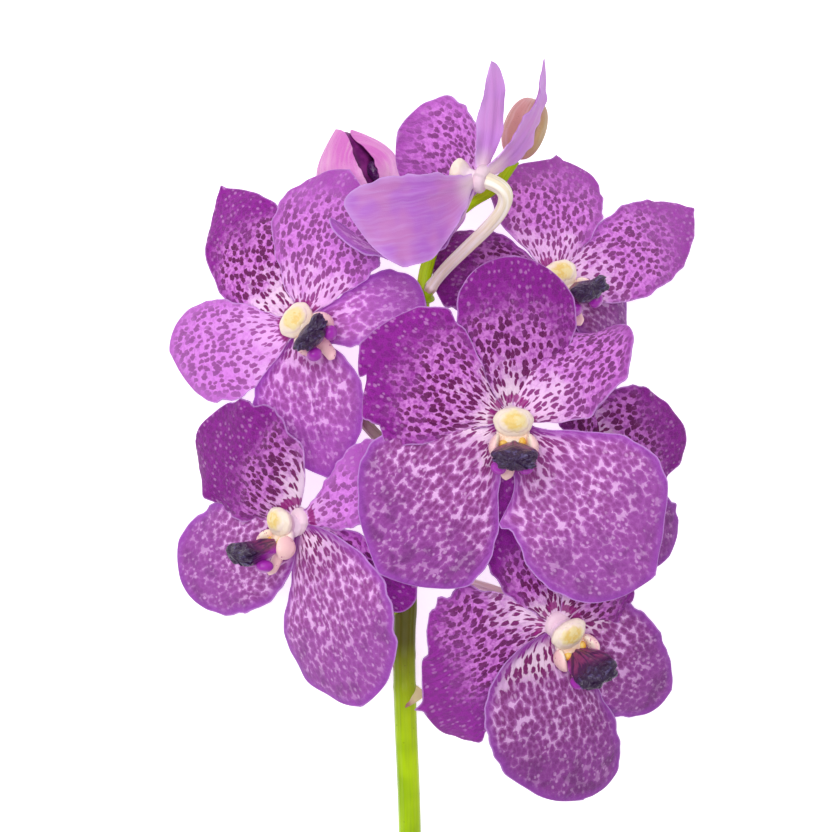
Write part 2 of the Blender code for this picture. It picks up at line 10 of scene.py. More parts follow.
import bpy
import numpy as np
from bpy.props import FloatProperty, FloatVectorProperty, IntProperty, PointerProperty
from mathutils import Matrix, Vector


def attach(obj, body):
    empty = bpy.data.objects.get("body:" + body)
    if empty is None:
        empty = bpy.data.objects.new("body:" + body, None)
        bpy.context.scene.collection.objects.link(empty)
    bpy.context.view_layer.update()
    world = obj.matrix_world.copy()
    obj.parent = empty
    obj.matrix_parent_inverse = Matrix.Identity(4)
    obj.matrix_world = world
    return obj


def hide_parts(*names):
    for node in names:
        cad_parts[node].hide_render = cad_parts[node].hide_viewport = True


bl_info = {
    "name": "Cut vanda orchid",
    "version": (1, 0, 0),
    "blender": (4, 5, 0),
    "location": "3D View > Sidebar > Orchid",
    "description": "Tepals, columns, lips, stalks, buds and stem of a cut vanda spray",
    "category": "Object",
}

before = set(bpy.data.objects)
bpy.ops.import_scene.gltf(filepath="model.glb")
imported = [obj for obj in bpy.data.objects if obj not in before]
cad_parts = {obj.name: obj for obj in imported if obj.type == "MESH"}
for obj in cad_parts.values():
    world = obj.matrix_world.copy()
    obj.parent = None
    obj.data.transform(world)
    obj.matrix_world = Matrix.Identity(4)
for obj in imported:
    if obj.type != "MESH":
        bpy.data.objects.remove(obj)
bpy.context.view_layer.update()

MM = 0.001
ORIGIN = (5.9, -58.4)        # the layout's point at the frame's origin, x and y

# Points lower than this above the table are eased upwards, by this share of the square of how
# much lower they are, which is counted up to a limit
TABLE_CLEAR = 3.0
TABLE_EASE = 0.08
TABLE_LIMIT = 4.6

# The solids' own sizes, which the fine pieces keep
NECK = 2.1
MIDRIB_START = 1.2
TIP_END = 0.9998
BASE_RADIUS = 4.6
BASE_FRONT = 1.8
BASE_BACK = -2.2
STALK_RADIUS = 1.7
OVARY_RADIUS = 2.4
STUB_RADIUS = 2.3
STUB_REACH = 5.6
STALK_PULL = 0.4
STEM_RADIUS = 3.5
STEM_TIP_RADIUS = 1.7
STEM_TAPER_START = -60.0

# Where along Y the stem gets painted shade for the lowest blooms' shadow, and how much
STEM_SHADE = ((-92.0, -72.0, -50.0, -40.0), (0.0, 1.0, 1.0, 0.0))

LIP_LINE = [(0.0, -7.3, 7.05), (0.0, -11.0, 13.5), (0.0, -12.0, 22.0)]
LIP_WIDE = (1.8, 3.0, 3.6, 4.0, 4.6, 5.4, 4.6)
LIP_HIGH = (1.4, 2.6, 3.4, 3.4, 3.0, 2.6, 1.4)
COLUMN_LINE = [(0.0, -1.6, 1.4), (0.0, -1.2, 5.0), (0.0, 0.2, 9.2)]
COLUMN_STOPS = (0.0, 0.3, 0.62, 0.76, 0.88, 0.95, 1.0)
COLUMN_WIDE = (4.2, 4.0, 6.0, 6.1, 5.2, 4.0, 2.4)
COLUMN_HIGH = (3.6, 3.3, 4.6, 4.7, 4.1, 3.2, 2.0)
SPUR_LINE = [(0.0, -7.0, 4.4), (-0.8, -12.0, 4.6), (-2.2, -18.0, 6.4)]

# The fine waves along a tepal's edge: how many, and their share of the height
EDGE_WAVES = ((3.4, 0.6), (6.1, 0.7), (10.7, 0.4))

# The closed bud: its middle, its axis, its length and half its width
CLOSED_BUD = ((34.3, 90.7, 42.5), (0.33, 0.92, 0.15), 19.6, 6.5)

STEM_ROUTE = [
    (-0.6, -226.0, 3.2), (-1.2, -180.0, 10.5), (-2.1, -129.0, 20.0), (-3.3, -97.0, 27.0),
    (-3.7, -72.0, 31.0), (-2.6, -46.0, 33.0), (0.0, -1.0, 34.0), (2.0, 37.0, 34.0),
    (4.2, 50.0, 33.5), (8.5, 60.0, 33.0), (17.0, 67.5, 34.5), (25.0, 72.5, 38.0),
    (31.2, 80.8, 41.0),
]

# Each bract: its foot on the stem, its tip, and half its width
BRACTS = [
    ((1.6, -87.8, 28.8), (-3.4, -93.0, 31.8), 2.2),
    ((-6.0, -77.2, 30.4), (-7.0, -81.2, 30.6), 1.3),
]


def tone(red, green, blue):
    """A colour from its screen values, 0 to 255, as the linear values that a shader takes."""
    share = np.array((red, green, blue)) / 255.0
    linear = np.where(share <= 0.04045, share / 12.92, ((share + 0.055) / 1.055) ** 2.4)
    return tuple(float(value) for value in linear)


def colour(name, description, red, green, blue):
    """A setting for a colour, given in screen values."""
    return FloatVectorProperty(name=name, description=description, subtype="COLOR", size=3,
                               min=0.0, max=1.0, default=tone(red, green, blue))


def length(name, description, millimetres):
    """A setting for a length."""
    return FloatProperty(name=name, description=description, unit="LENGTH", precision=5,
                         min=0.0, default=millimetres * MM)


def tepal(tip, wide, kind="petal", **own):
    """One tepal's sizes: the usual ones, and its own in their place.

    tip is the tip from the bloom's middle, and wide the half widths of its two sides. face is
    where its inner side looks and bow the bend of its midrib, sideways and forwards. claw and
    blunt shape its outline's foot and tip on each side. cup bends it across, roll and twist
    turn it about its midrib, and wave is its edge's wave: height, number and start. These are
    the solid's own. kind is petal, sepal or bud, for its markings. frill and scallop are the
    heights of the edge's fine waves, out of the blade and in its plane, and nub is the little
    point at the tip. tint makes its markings brighter, or darker below zero: that is painted
    shade on the tepals that lie under others, and a deeper tone on the rest. deep brings
    its outer colours in towards its foot. Each of lobes swells the outline on one side: the
    side, -1 or 1, by what share, how far along and over what length.
    """
    usual = dict(face=None, bow=(0.0, 3.0), claw=(0.85, 0.85), blunt=(0.5, 0.5), cup=-0.1, roll=0.0,
                 twist=0.0, wave=(0.8, 2.0, 0.0), frill=0.5, scallop=0.4, nub=0.0, tint=0.0,
                 deep=1.0, lobes=())
    return dict(usual, tip=tip, wide=wide, kind=kind, **own)


# Each bloom: its middle, where it looks and which way its lip hangs, where its tepals' inner
# sides look if that differs, where along Y its stalk leaves the stem and which way, how far the
# stalk's end keeps to the bloom's axis if that is unusual, and its tepals
FLOWERS = {
    "1": dict(
        middle=(-36.3, 29.3, 38.0), looks=(-0.25, 0.15, 0.95), lip=(0.80, -0.60, 0.0),
        faces=(-0.40, 0.22, 0.89), root=-15.0, start=(-0.8, 0.5, 0.1),
        tepals=[
            tepal((-27.5, 45.3, -38.2), (15.5, 16.5), bow=(-2.0, 4.0), claw=(0.8, 0.85),
                  blunt=(0.9, 0.8), nub=1.6),
            tepal((15.0, 49.3, -5.0), (18.5, 23.5), bow=(-2.0, 3.0), claw=(1.3, 1.1),
                  blunt=(0.8, 1.0), scallop=0.7, tint=0.8, deep=0.8),
            tepal((-43.2, -8.4, -18.0), (21.4, 13.5), bow=(0.0, 4.0), claw=(1.0, 1.2),
                  blunt=(0.8, 0.55), tint=1.2, deep=0.6),
            tepal((8.5, -49.0, -4.0), (17.7, 22.0), "sepal", claw=(0.9, 1.1), blunt=(0.9, 1.0),
                  frill=0.3, tint=0.6),
            tepal((39.5, 5.8, 2.0), (13.0, 11.0), "sepal", claw=(1.2, 0.6), blunt=(0.4, 0.65),
                  frill=0.3, tint=0.9),
        ],
    ),
    "2": dict(
        middle=(29.2, -1.2, 80.0), looks=(0.03, -0.03, 1.0), lip=(0.0, -1.0, 0.0),
        root=-40.0, start=(0.5, 0.3, 0.8),
        tepals=[
            tepal((0.1, 50.2, -8.0), (17.0, 19.9), claw=(0.95, 1.0), blunt=(0.5, 0.57), cup=-0.15,
                  frill=0.2, scallop=0.2, tint=-0.3),
            tepal((-46.0, 23.2, 0.0), (22.3, 20.4), claw=(1.2, 1.5), blunt=(0.82, 0.83),
                  wave=(1.3, 3.0, 0.0), nub=0.3,
                  lobes=((-1, 0.1, 0.55, 0.05), (-1, -0.08, 0.68, 0.03), (-1, 0.08, 0.79, 0.03),
                         (-1, -0.4, 0.885, 0.028), (1, 0.06, 0.62, 0.04))),
            tepal((34.0, 29.0, 0.0), (17.0, 16.8), twist=75.0, wave=(1.3, 3.0, 0.2), deep=0.6,
                  tint=0.5),
            tepal((-40.8, -47.0, -8.0), (23.9, 27.7), "sepal", bow=(0.0, 4.0), claw=(1.6, 1.05),
                  blunt=(0.8, 0.95), frill=0.3),
            tepal((44.1, -47.5, -6.0), (24.6, 27.0), "sepal", bow=(0.0, 5.0), claw=(1.5, 0.75),
                  blunt=(1.2, 0.45), frill=0.3, tint=0.3,
                  lobes=((1, -0.26, 0.19, 0.07), (1, 0.22, 0.3, 0.035))),
            # the narrow deep violet blade that shows between this bloom's lower sepals: it stands
            # for a tepal in shadow, and its tint below zero adds painted shade
            tepal((-3.2, -32.0, -9.0), (3.8, 3.8), claw=(0.3, 0.3), blunt=(0.3, 0.3), frill=0.0,
                  scallop=0.0, tint=-0.5, deep=4.0),
        ],
    ),
    "3": dict(
        middle=(-37.0, -33.0, 48.0), looks=(-0.82, 0.05, 0.57), lip=(-0.31, -0.95, 0.0),
        faces=(-0.70, -0.10, 0.70), root=-62.0, start=(-0.8, 0.4, 0.2),
        tepals=[
            tepal((-33.8, 25.8, -27.0), (13.7, 26.5), claw=(0.95, 0.4), blunt=(0.55, 0.5),
                  wave=(1.3, 3.0, 0.0), scallop=0.8, tint=-0.3, deep=1.4),
            tepal((-39.6, -19.9, -36.0), (19.4, 17.7), "sepal", bow=(0.0, 0.0), claw=(0.57, 0.65),
                  blunt=(0.49, 0.43), tint=0.2),
            tepal((20.0, -57.8, 4.0), (28.1, 22.6), "sepal", claw=(0.7, 1.4), blunt=(0.62, 0.8),
                  frill=0.3, tint=0.25),
            tepal((30.0, 17.0, 16.0), (12.6, 12.0), claw=(1.4, 0.85), blunt=(0.3, 0.5), tint=1.1),
            tepal((36.5, -25.3, 2.0), (11.8, 9.0), blunt=(0.55, 0.4)),
        ],
    ),
    "4": dict(
        middle=(44.2, -65.1, 55.0), looks=(0.45, -0.30, 0.84), lip=(0.5, -0.87, 0.0),
        root=-50.0, start=(0.9, -0.1, 0.2),
        tepals=[
            tepal((-16.7, 35.5, 5.0), (13.0, 13.0), tint=-0.3),
            tepal((-42.8, -25.8, -2.0), (21.8, 31.0), bow=(0.0, 2.0), claw=(1.25, 0.95),
                  blunt=(0.3, 1.2), wave=(1.6, 4.0, 0.0), frill=0.9, scallop=1.1, nub=2.0,
                  tint=0.2),
            tepal((9.2, -56.3, -18.0), (14.5, 30.4), "sepal", bow=(0.0, 4.0), claw=(1.05, 0.46),
                  blunt=(0.3, 0.6), tint=-0.4),
            tepal((37.4, -22.9, -27.0), (17.6, 16.3), "sepal", claw=(0.4, 0.95), blunt=(0.75, 0.5),
                  tint=-0.2),
            tepal((21.0, 20.0, -4.0), (14.0, 14.0), tint=-0.2),
        ],
    ),
    "5": dict(
        middle=(43.1, 42.5, 38.0), looks=(0.30, 0.35, 0.88), lip=(0.4, -0.91, 0.0),
        root=12.0, start=(0.8, 0.5, 0.0),
        tepals=[
            tepal((2.4, 40.1, -18.0), (22.5, 16.1), claw=(1.1, 0.95), blunt=(0.7, 0.4), nub=1.8,
                  tint=0.6, deep=0.8),
            tepal((47.4, 25.3, -38.2), (10.6, 18.8), bow=(0.0, 4.0), claw=(1.1, 0.6),
                  blunt=(0.8, 0.7), nub=1.5, tint=0.5, deep=0.9),
            tepal((25.0, -14.6, -16.0), (14.0, 14.0), "sepal", tint=-0.4),
            tepal((2.5, -31.0, -4.0), (14.0, 14.0), "sepal", tint=-0.3),
            tepal((-37.4, 7.9, -8.0), (18.0, 13.0), claw=(1.0, 0.8), blunt=(0.6, 0.4), tint=-0.6),
        ],
    ),
    "6": dict(
        middle=(20.0, 73.5, 62.0), looks=(-0.93, 0.30, -0.25), lip=(0.0, -0.95, 0.25),
        root=36.0, start=(0.4, 0.7, 0.5), pull=0.44,
        tepals=[
            tepal((-41.8, -9.6, 20.0), (6.7, 21.3), "sepal", face=(0.1, 0.2, -0.97),
                  bow=(0.0, -7.0), claw=(1.1, 1.5), blunt=(0.5, 0.9)),
            tepal((-47.0, -12.0, -6.0), (9.0, 9.0), "sepal", face=(0.05, 0.97, 0.2),
                  bow=(0.0, -18.0), tint=0.9),
            tepal((3.2, 36.0, 2.0), (6.7, 7.1), face=(-0.6, 0.0, -0.8), bow=(-2.0, 0.6),
                  claw=(0.8, 0.65), blunt=(0.5, 1.1), frill=0.1, scallop=0.1, tint=0.8,
                  lobes=((-1, -0.25, 0.5, 0.8), (1, -0.3, 0.5, 0.8))),
            tepal((19.9, 35.6, -8.0), (8.0, 8.0), face=(-0.85, 0.5, -0.1), bow=(0.0, -5.0),
                  claw=(0.6, 0.6), blunt=(0.8, 0.8), roll=20.0, frill=0.4, scallop=0.3, nub=2.5,
                  tint=0.4, lobes=((-1, -0.25, 0.5, 0.8), (1, -0.3, 0.5, 0.8))),
            tepal((-26.0, 16.8, -30.0), (21.0, 14.9), face=(-0.2, -0.4, 0.9), bow=(0.0, -10.0),
                  claw=(1.0, 1.5), blunt=(0.3, 0.77), tint=0.8, deep=0.7),
        ],
    ),
    "7": dict(
        middle=(54.3, -15.3, 30.0), looks=(0.45, -0.05, 0.89), lip=(0.5, -0.87, 0.0),
        root=-30.0, start=(0.9, 0.2, -0.1),
        tepals=[
            tepal((32.7, 11.6, -16.0), (20.1, 13.9), claw=(0.6, 0.9), blunt=(0.7, 0.53), tint=-0.3),
            tepal((27.9, -30.1, -16.0), (13.2, 14.4), "sepal", claw=(1.1, 0.87), blunt=(0.55, 0.42),
                  scallop=0.8, tint=-0.3),
            tepal((1.6, 25.5, -4.0), (13.0, 13.0), tint=-0.3),
            tepal((-25.5, -1.6, 3.0), (13.0, 13.0), tint=-0.3),
            tepal((-5.0, -28.7, -8.0), (13.0, 13.0), "sepal", tint=-0.4),
        ],
    ),
}


# The stage, in metres, degrees for the top light, and millimetres for the camera's sensor
TABLE_REACH = 3.0
LAMP_WIDTH = 1.2
LAMP_PLACE = (-0.55, 0.75, 1.5)
LAMP_AIM = (0.55, -0.70, -1.45)
TOP_LIGHT_SPREAD = 30
SENSOR_WIDTH = 36.0


def unit(vectors):
    """Vectors of length 1 along the last axis."""
    vectors = np.asarray(vectors, dtype=float)
    return vectors / np.maximum(np.linalg.norm(vectors, axis=-1, keepdims=True), 1e-12)


def cupped_tepal(axis, angle, reach, bulge, wide, parting):
    """A bud's tepal, which bulges out from the bud's axis and comes back to it at the tip."""
    axis = unit(axis)
    up = unit(np.array((0.0, 0.0, 1.0)) - axis * axis[2])
    across = np.cross(axis, up)
    out = up * np.cos(radians(angle)) + across * np.sin(radians(angle))
    tip = axis * reach + out * parting
    return tepal(tuple(tip), (wide, wide), "bud", face=tuple(-out), bow=(0.0, -bulge),
                 claw=(0.5, 0.5), cup=0.42, wave=(0.0, 1.0, 0.0), frill=0.15, scallop=0.1)


OPENING_AXIS = (-0.36, 0.93, 0.02)
OPENING_BUD = dict(
    middle=(-13.0, 62.5, 14.5), looks=OPENING_AXIS, lip=(0.39, 0.15, 0.91),
    root=56.0, start=(-0.8, -0.5, -0.3),
    tepals=[
        cupped_tepal(OPENING_AXIS, -52.0, 33.0, 11.5, 12.0, 1.5),
        cupped_tepal(OPENING_AXIS, 80.0, 31.0, 11.5, 11.0, 3.5),
        cupped_tepal(OPENING_AXIS, 188.0, 32.0, 10.0, 11.0, 1.0),
        cupped_tepal(OPENING_AXIS, 135.0, 27.0, 8.0, 8.0, 1.0),
        cupped_tepal(OPENING_AXIS, -120.0, 27.0, 8.0, 8.0, 1.0),
    ],
)

# The lip inside the opening bud: its middle and its half sizes
OPENING_LIP = ((2.0, -9.4, 15.5), (2.4, 2.4, 3.4))

ALL_FLOWERS = dict(FLOWERS, opening=OPENING_BUD)

# How far a bloom's stalk leans to the dark stalk colour, painted shade for a stalk that lies in the
# blooms' shadow
PAINTED_SHADE_STALKS = {"1": 0.85}


def placed(points):
    """Layout points in millimetres as the frame's points in metres."""
    return (np.asarray(points) - np.array((ORIGIN[0], ORIGIN[1], 0.0))) * MM


def flower_axes(flower):
    """The flower's own right, up and forward directions, up being away from its lip."""
    ahead = unit(flower["looks"])
    up = -np.array(flower["lip"])
    up = unit(up - ahead * (up @ ahead))
    return np.cross(up, ahead), up, ahead


def in_flower(flower, points):
    """Points given to the right, up and forwards of a flower's middle, in the layout's axes."""
    return np.asarray(points) @ np.array(flower_axes(flower)) + np.array(flower["middle"])


def bezier(points, steps):
    """Points along a Bezier curve, by mixing neighbouring points again and again."""
    t = np.linspace(0.0, 1.0, steps)[:, None, None]
    row = np.repeat(np.asarray(points, dtype=float)[None, :, :], steps, axis=0)
    while row.shape[1] > 1:
        row = row[:, :-1] * (1 - t) + row[:, 1:] * t
    return row[:, 0]


def smooth_route(points, steps):
    """A Catmull-Rom curve through the points, with the same number of steps between each two."""
    route = np.asarray(points, dtype=float)
    route = np.vstack([2 * route[0] - route[1], route, 2 * route[-1] - route[-2]])
    t = np.linspace(0.0, 1.0, steps, endpoint=False)[:, None]
    runs = []
    for a, b, c, d in zip(route[:-3], route[1:-2], route[2:-1], route[3:]):
        runs.append(0.5 * (2 * b + (c - a) * t + (2 * a - 5 * b + 4 * c - d) * t ** 2
                           + (3 * b - a - 3 * c + d) * t ** 3))
    return np.vstack(runs + [route[-2:-1]])


def stem_point(height):
    """The stem's middle line where it passes a height along Y."""
    route = smooth_route(STEM_ROUTE, 8)
    return np.array([np.interp(height, route[:, 1], route[:, axis]) for axis in range(3)])


def carried_frames(line):
    """Two directions square to a line at each of its points, carried along it without turning."""
    ahead = unit(np.gradient(line, axis=0))
    start = np.eye(3)[np.argmin(np.abs(ahead[0]))]
    sides = [unit(np.cross(ahead[0], start))]
    for direction in ahead[1:]:
        sides.append(unit(sides[-1] - direction * (sides[-1] @ direction)))
    side = np.array(sides)
    return side, np.cross(ahead, side)


def part(points, faces, slots, uv, outer, edge=9.0, foot=30.0, tint=0.0):
    """A part of a piece: its points, its faces with a material slot for each lot, each point's
    place in the pattern, and a value of each kind for each point.

    outer is how far out along its part a point is, edge its distance from the edge, foot its
    distance from the flower's middle or a stalk's start, and tint leans its colour.
    """
    values = dict(outer=outer, edge=edge, foot=foot, tint=tint)
    return dict(points=points, faces=faces, slots=slots, uv=uv,
                **{name: np.zeros(len(points)) + value for name, value in values.items()})


def grid_faces(rows, columns, first=0, wrap=False):
    """Quads over a grid of points, numbered row by row."""
    index = first + np.arange(rows * columns).reshape(rows, columns)
    if wrap:
        index = np.hstack([index, index[:, :1]])
    return np.stack([index[:-1, :-1].ravel(), index[:-1, 1:].ravel(),
                     index[1:, 1:].ravel(), index[1:, :-1].ravel()], axis=1)


def loft(line, side, rise, wide, high, sides, slot=0, bumps=None, foot=30.0, tint=0.0):
    """A closed body of rings about a line, with a pole at each end.

    At t along the line and at an angle about it, the radius is wide along side and high along
    rise, times 1 + bumps(t, angle).
    """
    line = np.asarray(line, dtype=float)
    count = len(line)
    side = np.broadcast_to(side, line.shape)
    rise = np.broadcast_to(rise, line.shape)
    t = np.linspace(0.0, 1.0, count)[:, None]
    turn = np.linspace(0.0, tau, sides, endpoint=False)[None, :]
    swell = 1.0 + (bumps(t, turn) if bumps else 0.0 * t * turn)
    wide = np.broadcast_to(wide, count)[:, None]
    high = np.broadcast_to(high, count)[:, None]
    rings = (line[:, None, :] + side[:, None, :] * (np.cos(turn) * wide * swell)[..., None]
             + rise[:, None, :] * (np.sin(turn) * high * swell)[..., None])
    points = np.vstack([rings.reshape(-1, 3), line[:1], line[-1:]])
    walls = grid_faces(count, sides, wrap=True)
    last = (count - 1) * sides
    around = np.arange(sides)
    next_one = (around + 1) % sides
    low = np.stack([np.full(sides, count * sides), next_one, around], axis=1)
    top = np.stack([np.full(sides, count * sides + 1), last + around, last + next_one], axis=1)
    along = np.concatenate([[0.0], np.cumsum(np.linalg.norm(np.diff(line, axis=0), axis=1))])
    uv = np.stack(np.broadcast_arrays(turn * float(np.mean(wide)), along[:, None]), axis=-1)
    uv = np.vstack([uv.reshape(-1, 2), [[0.0, 0.0]], [[0.0, along[-1]]]])
    outer = np.concatenate([np.repeat(t[:, 0], sides), [0.0, 1.0]])
    return part(points, [walls, low, top], [slot] * 3, uv, outer, foot=foot, tint=tint)


def ball(flower, middle, radii, slot=0, bumps=None, rings=24, sides=36, tilt=(0.0, 0.0), tint=0.0):
    """An ellipsoid in a flower's own axes, tilted about its right and its forward axis.

    With no flower its points stay in those axes. Its rings run along the forward axis, and
    bumps(t, angle) swells it as in loft.
    """
    t = np.linspace(0.004, 0.996, rings)
    cosine, sine = np.cos(radians(tilt[0])), np.sin(radians(tilt[0]))
    lean = np.array([(1, 0, 0), (0, cosine, sine), (0, -sine, cosine)])
    cosine, sine = np.cos(radians(tilt[1])), np.sin(radians(tilt[1]))
    lean = lean @ np.array([(cosine, sine, 0), (-sine, cosine, 0), (0, 0, 1)])
    line = np.array(middle) + (-np.cos(pi * t) * radii[2])[:, None] * lean[2]
    made = loft(line, lean[0], lean[1], np.sin(pi * t) * radii[0], np.sin(pi * t) * radii[1],
                sides, slot, bumps, tint=tint)
    if flower:
        made["points"] = in_flower(flower, made["points"])
    return made


def make_piece(name, parts, materials, nodes):
    """One object from parts: it stands for the nodes.

    Points near the table are eased upwards, so that none passes through it.
    """
    corners, totals, slots = [], [], []
    first = 0
    for made in parts:
        for faces, number in zip(made["faces"], made["slots"]):
            corners.append((faces + first).ravel())
            totals.append(np.full(len(faces), faces.shape[1]))
            slots.append(np.full(len(faces), number))
        first += len(made["points"])
    corners = np.concatenate(corners).astype(np.int32)
    totals = np.concatenate(totals)
    starts = np.concatenate([[0], np.cumsum(totals)[:-1]]).astype(np.int32)
    points = np.vstack([made["points"] for made in parts])
    points[:, 2] += TABLE_EASE * np.clip(TABLE_CLEAR - points[:, 2], 0.0, TABLE_LIMIT) ** 2
    mesh = bpy.data.meshes.new(name)
    mesh.vertices.add(first)
    mesh.vertices.foreach_set("co", placed(points).astype(np.float32).ravel())
    mesh.loops.add(len(corners))
    mesh.loops.foreach_set("vertex_index", corners)
    mesh.polygons.add(len(totals))
    mesh.polygons.foreach_set("loop_start", starts)
    for material in materials:
        mesh.materials.append(material)
    mesh.polygons.foreach_set("material_index", np.concatenate(slots).astype(np.int32))
    mesh.update(calc_edges=True)
    pattern = mesh.uv_layers.new(name="pattern")
    uv = np.vstack([made["uv"] for made in parts])
    pattern.uv.foreach_set("vector", uv[corners].astype(np.float32).ravel())
    for measure in ("outer", "edge", "foot", "tint"):
        values = np.concatenate([made[measure] for made in parts])
        layer = mesh.attributes.new(measure, "FLOAT", "POINT")
        layer.data.foreach_set("value", values.astype(np.float32))
    mesh.validate()
    mesh.shade_smooth()
    mesh.set_sharp_from_angle(angle=radians(60))
    piece = bpy.data.objects.new(name, mesh)
    bpy.context.scene.collection.objects.link(piece)
    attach(piece, "root")
    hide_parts(*nodes)
    return piece


class Wire:
    """A node's output that sums, products and steps can be written with."""

    def __init__(self, finish, socket):
        self.finish = finish
        self.socket = socket

    def maths(self, operation, first, second):
        """A Math node on two values."""
        return self.finish.node("Math", {"operation": operation}, {0: first, 1: second})

    def __add__(self, other):
        return self.maths("ADD", self, other)

    __radd__ = __add__

    def __sub__(self, other):
        return self.maths("SUBTRACT", self, other)

    def __rsub__(self, other):
        return self.maths("SUBTRACT", other, self)

    def __mul__(self, other):
        return self.maths("MULTIPLY", self, other)

    __rmul__ = __mul__

    def over(self, low, high):
        """0 below low, 1 above high and a smooth step between."""
        return self.finish.node("MapRange", {"interpolation_type": "SMOOTHSTEP"},
                                {"Value": self, "From Min": low, "From Max": high})

    def under(self, low, high):
        """1 below low, 0 above high and a smooth step between."""
        return 1.0 - self.over(low, high)

    def most(self, other):
        """The larger of this value and another."""
        return self.maths("MAXIMUM", self, other)


class Finish:
    """A material, its nodes written as expressions."""

    def __init__(self, name):
        self.material = bpy.data.materials.new(name)
        self.material.use_nodes = True
        self.tree = self.material.node_tree
        self.shader = self.tree.nodes["Principled BSDF"]

    def node(self, kind, settings=None, values=None, output=0):
        """Adds a node, with its settings made first, then its sockets' values or links."""
        node = self.tree.nodes.new("ShaderNode" + kind)
        for name, value in (settings or {}).items():
            setattr(node, name, value)
        for name, value in (values or {}).items():
            if isinstance(value, Wire):
                self.tree.links.new(value.socket, node.inputs[name])
            else:
                node.inputs[name].default_value = value
        return Wire(self, node.outputs[output])

    def value(self, name):
        """One of the piece's own values, such as how far out a point is."""
        return self.node("Attribute", {"attribute_name": name}, output="Fac")

    def pattern(self):
        """The place in the pattern, in millimetres along a part's own surface."""
        return self.node("UVMap", {"uv_map": "pattern"})

    def place(self):
        """The place in the piece's own metres."""
        return self.node("TexCoord", output="Object")

    def vector(self, operation, first, second):
        """A Vector Math node on two vectors."""
        return self.node("VectorMath", {"operation": operation}, {0: first, 1: second})

    def noise(self, vector, scale, detail=2.0, output="Fac"):
        """A noise over a vector, with a middle value of a half."""
        values = {"Vector": vector, "Scale": scale, "Detail": detail}
        return self.node("TexNoise", None, values, output)

    def strokes(self, flat, share, scale, detail=2.0):
        """A noise drawn out lengthwise: its pattern runs on at a share of its pace across."""
        return self.noise(self.vector("MULTIPLY", flat, (1.0, share, 1.0)), scale, detail)

    def specks(self, vector, scale):
        """The distance to the middle of the nearest cell, in cell sizes."""
        return self.node("TexVoronoi", None, {"Vector": vector, "Scale": scale})

    def warped(self, vector, scale, reach):
        """The vector pushed about by a noise, by up to half the reach each way."""
        push = self.vector("SUBTRACT", self.noise(vector, scale, output="Color"), (0.5, 0.5, 0.5))
        return self.vector("ADD", vector, self.vector("MULTIPLY", push, (reach, reach, 0.0)))

    def mix(self, share, first, second):
        """A colour between two, at the share of the second."""
        values = {0: share}
        for number, item in ((6, first), (7, second)):
            values[number] = item if isinstance(item, Wire) else (*item, 1.0)
        return self.node("Mix", {"data_type": "RGBA"}, values, 2)

    def paint(self, skin, *coats):
        """Lays colours over a first one, each at its own share."""
        for share, coat in coats:
            skin = self.mix(share, skin, coat)
        return skin

    def set(self, **values):
        """Sets the shader's sockets, their names written with low lines for spaces."""
        for name, value in values.items():
            socket = self.shader.inputs[name.replace("_", " ")]
            if isinstance(value, Wire):
                self.tree.links.new(value.socket, socket)
            else:
                socket.default_value = value

    def done(self, skin, roughness, gloss, height, distance):
        """Ends a finish: its colour and gloss, raised by height times distance in metres."""
        normal = self.node("Bump", None, {"Height": height, "Distance": distance, "Strength": 1.0})
        self.set(Base_Color=skin, Roughness=roughness, Specular_IOR_Level=gloss, Normal=normal)
        return self.material


def cells(finish, vector, pitch):
    """Cells of about pitch across and longer along the tepal: the distance to a cell's middle,
    in cell sizes, and two random values for each cell."""
    longer = finish.vector("MULTIPLY", vector, (1.0, 0.7, 1.0))
    values = {"Vector": longer, "Scale": 1.0 / pitch, "Randomness": 0.9}
    middle = finish.node("TexVoronoi", {"feature": "F1", "voronoi_dimensions": "2D"}, values)
    spread = Wire(finish, middle.socket.node.outputs["Color"])
    chance = finish.node("SeparateColor", None, {0: spread})
    return middle, chance, Wire(finish, chance.socket.node.outputs[1])


def flecks(finish, flat, pitch, rough):
    """Small soft ovals, about one in every second cell."""
    small, size, pick = cells(finish, finish.vector("ADD", flat, (37.0, 91.0, 0.0)), pitch)
    return (0.26 + size * 0.14 + rough * 0.35 - small).over(0.0, 0.22) * pick.over(0.4, 0.5)


def foot_bars(finish, flat, foot):
    """Bold patches where a tepal leaves the column, cut up by a noise across the tepal."""
    away = foot + (finish.strokes(flat, 0.2, 0.8, 1.0) - 0.5) * 2.4
    gate = finish.strokes(flat, 0.05, 0.3, 0.0).over(0.38, 0.43)
    return away.over(5.0, 5.5) * away.under(7.4, 8.0) * gate


def surface(finish, flat, skin, care, height):
    """Ends a tepal's face: fine pale grain, lengthwise folds and the given relief."""
    grain = finish.noise(flat, 3.2)
    skin = finish.mix((grain - 0.45).most(0.0) * 0.3, skin, care.fleck)
    relief = grain * 0.5 + finish.strokes(flat, 0.12, 0.55) * 2.5 + height
    return finish.done(skin, 0.5 + grain * 0.12, 0.18, relief, 0.0003)


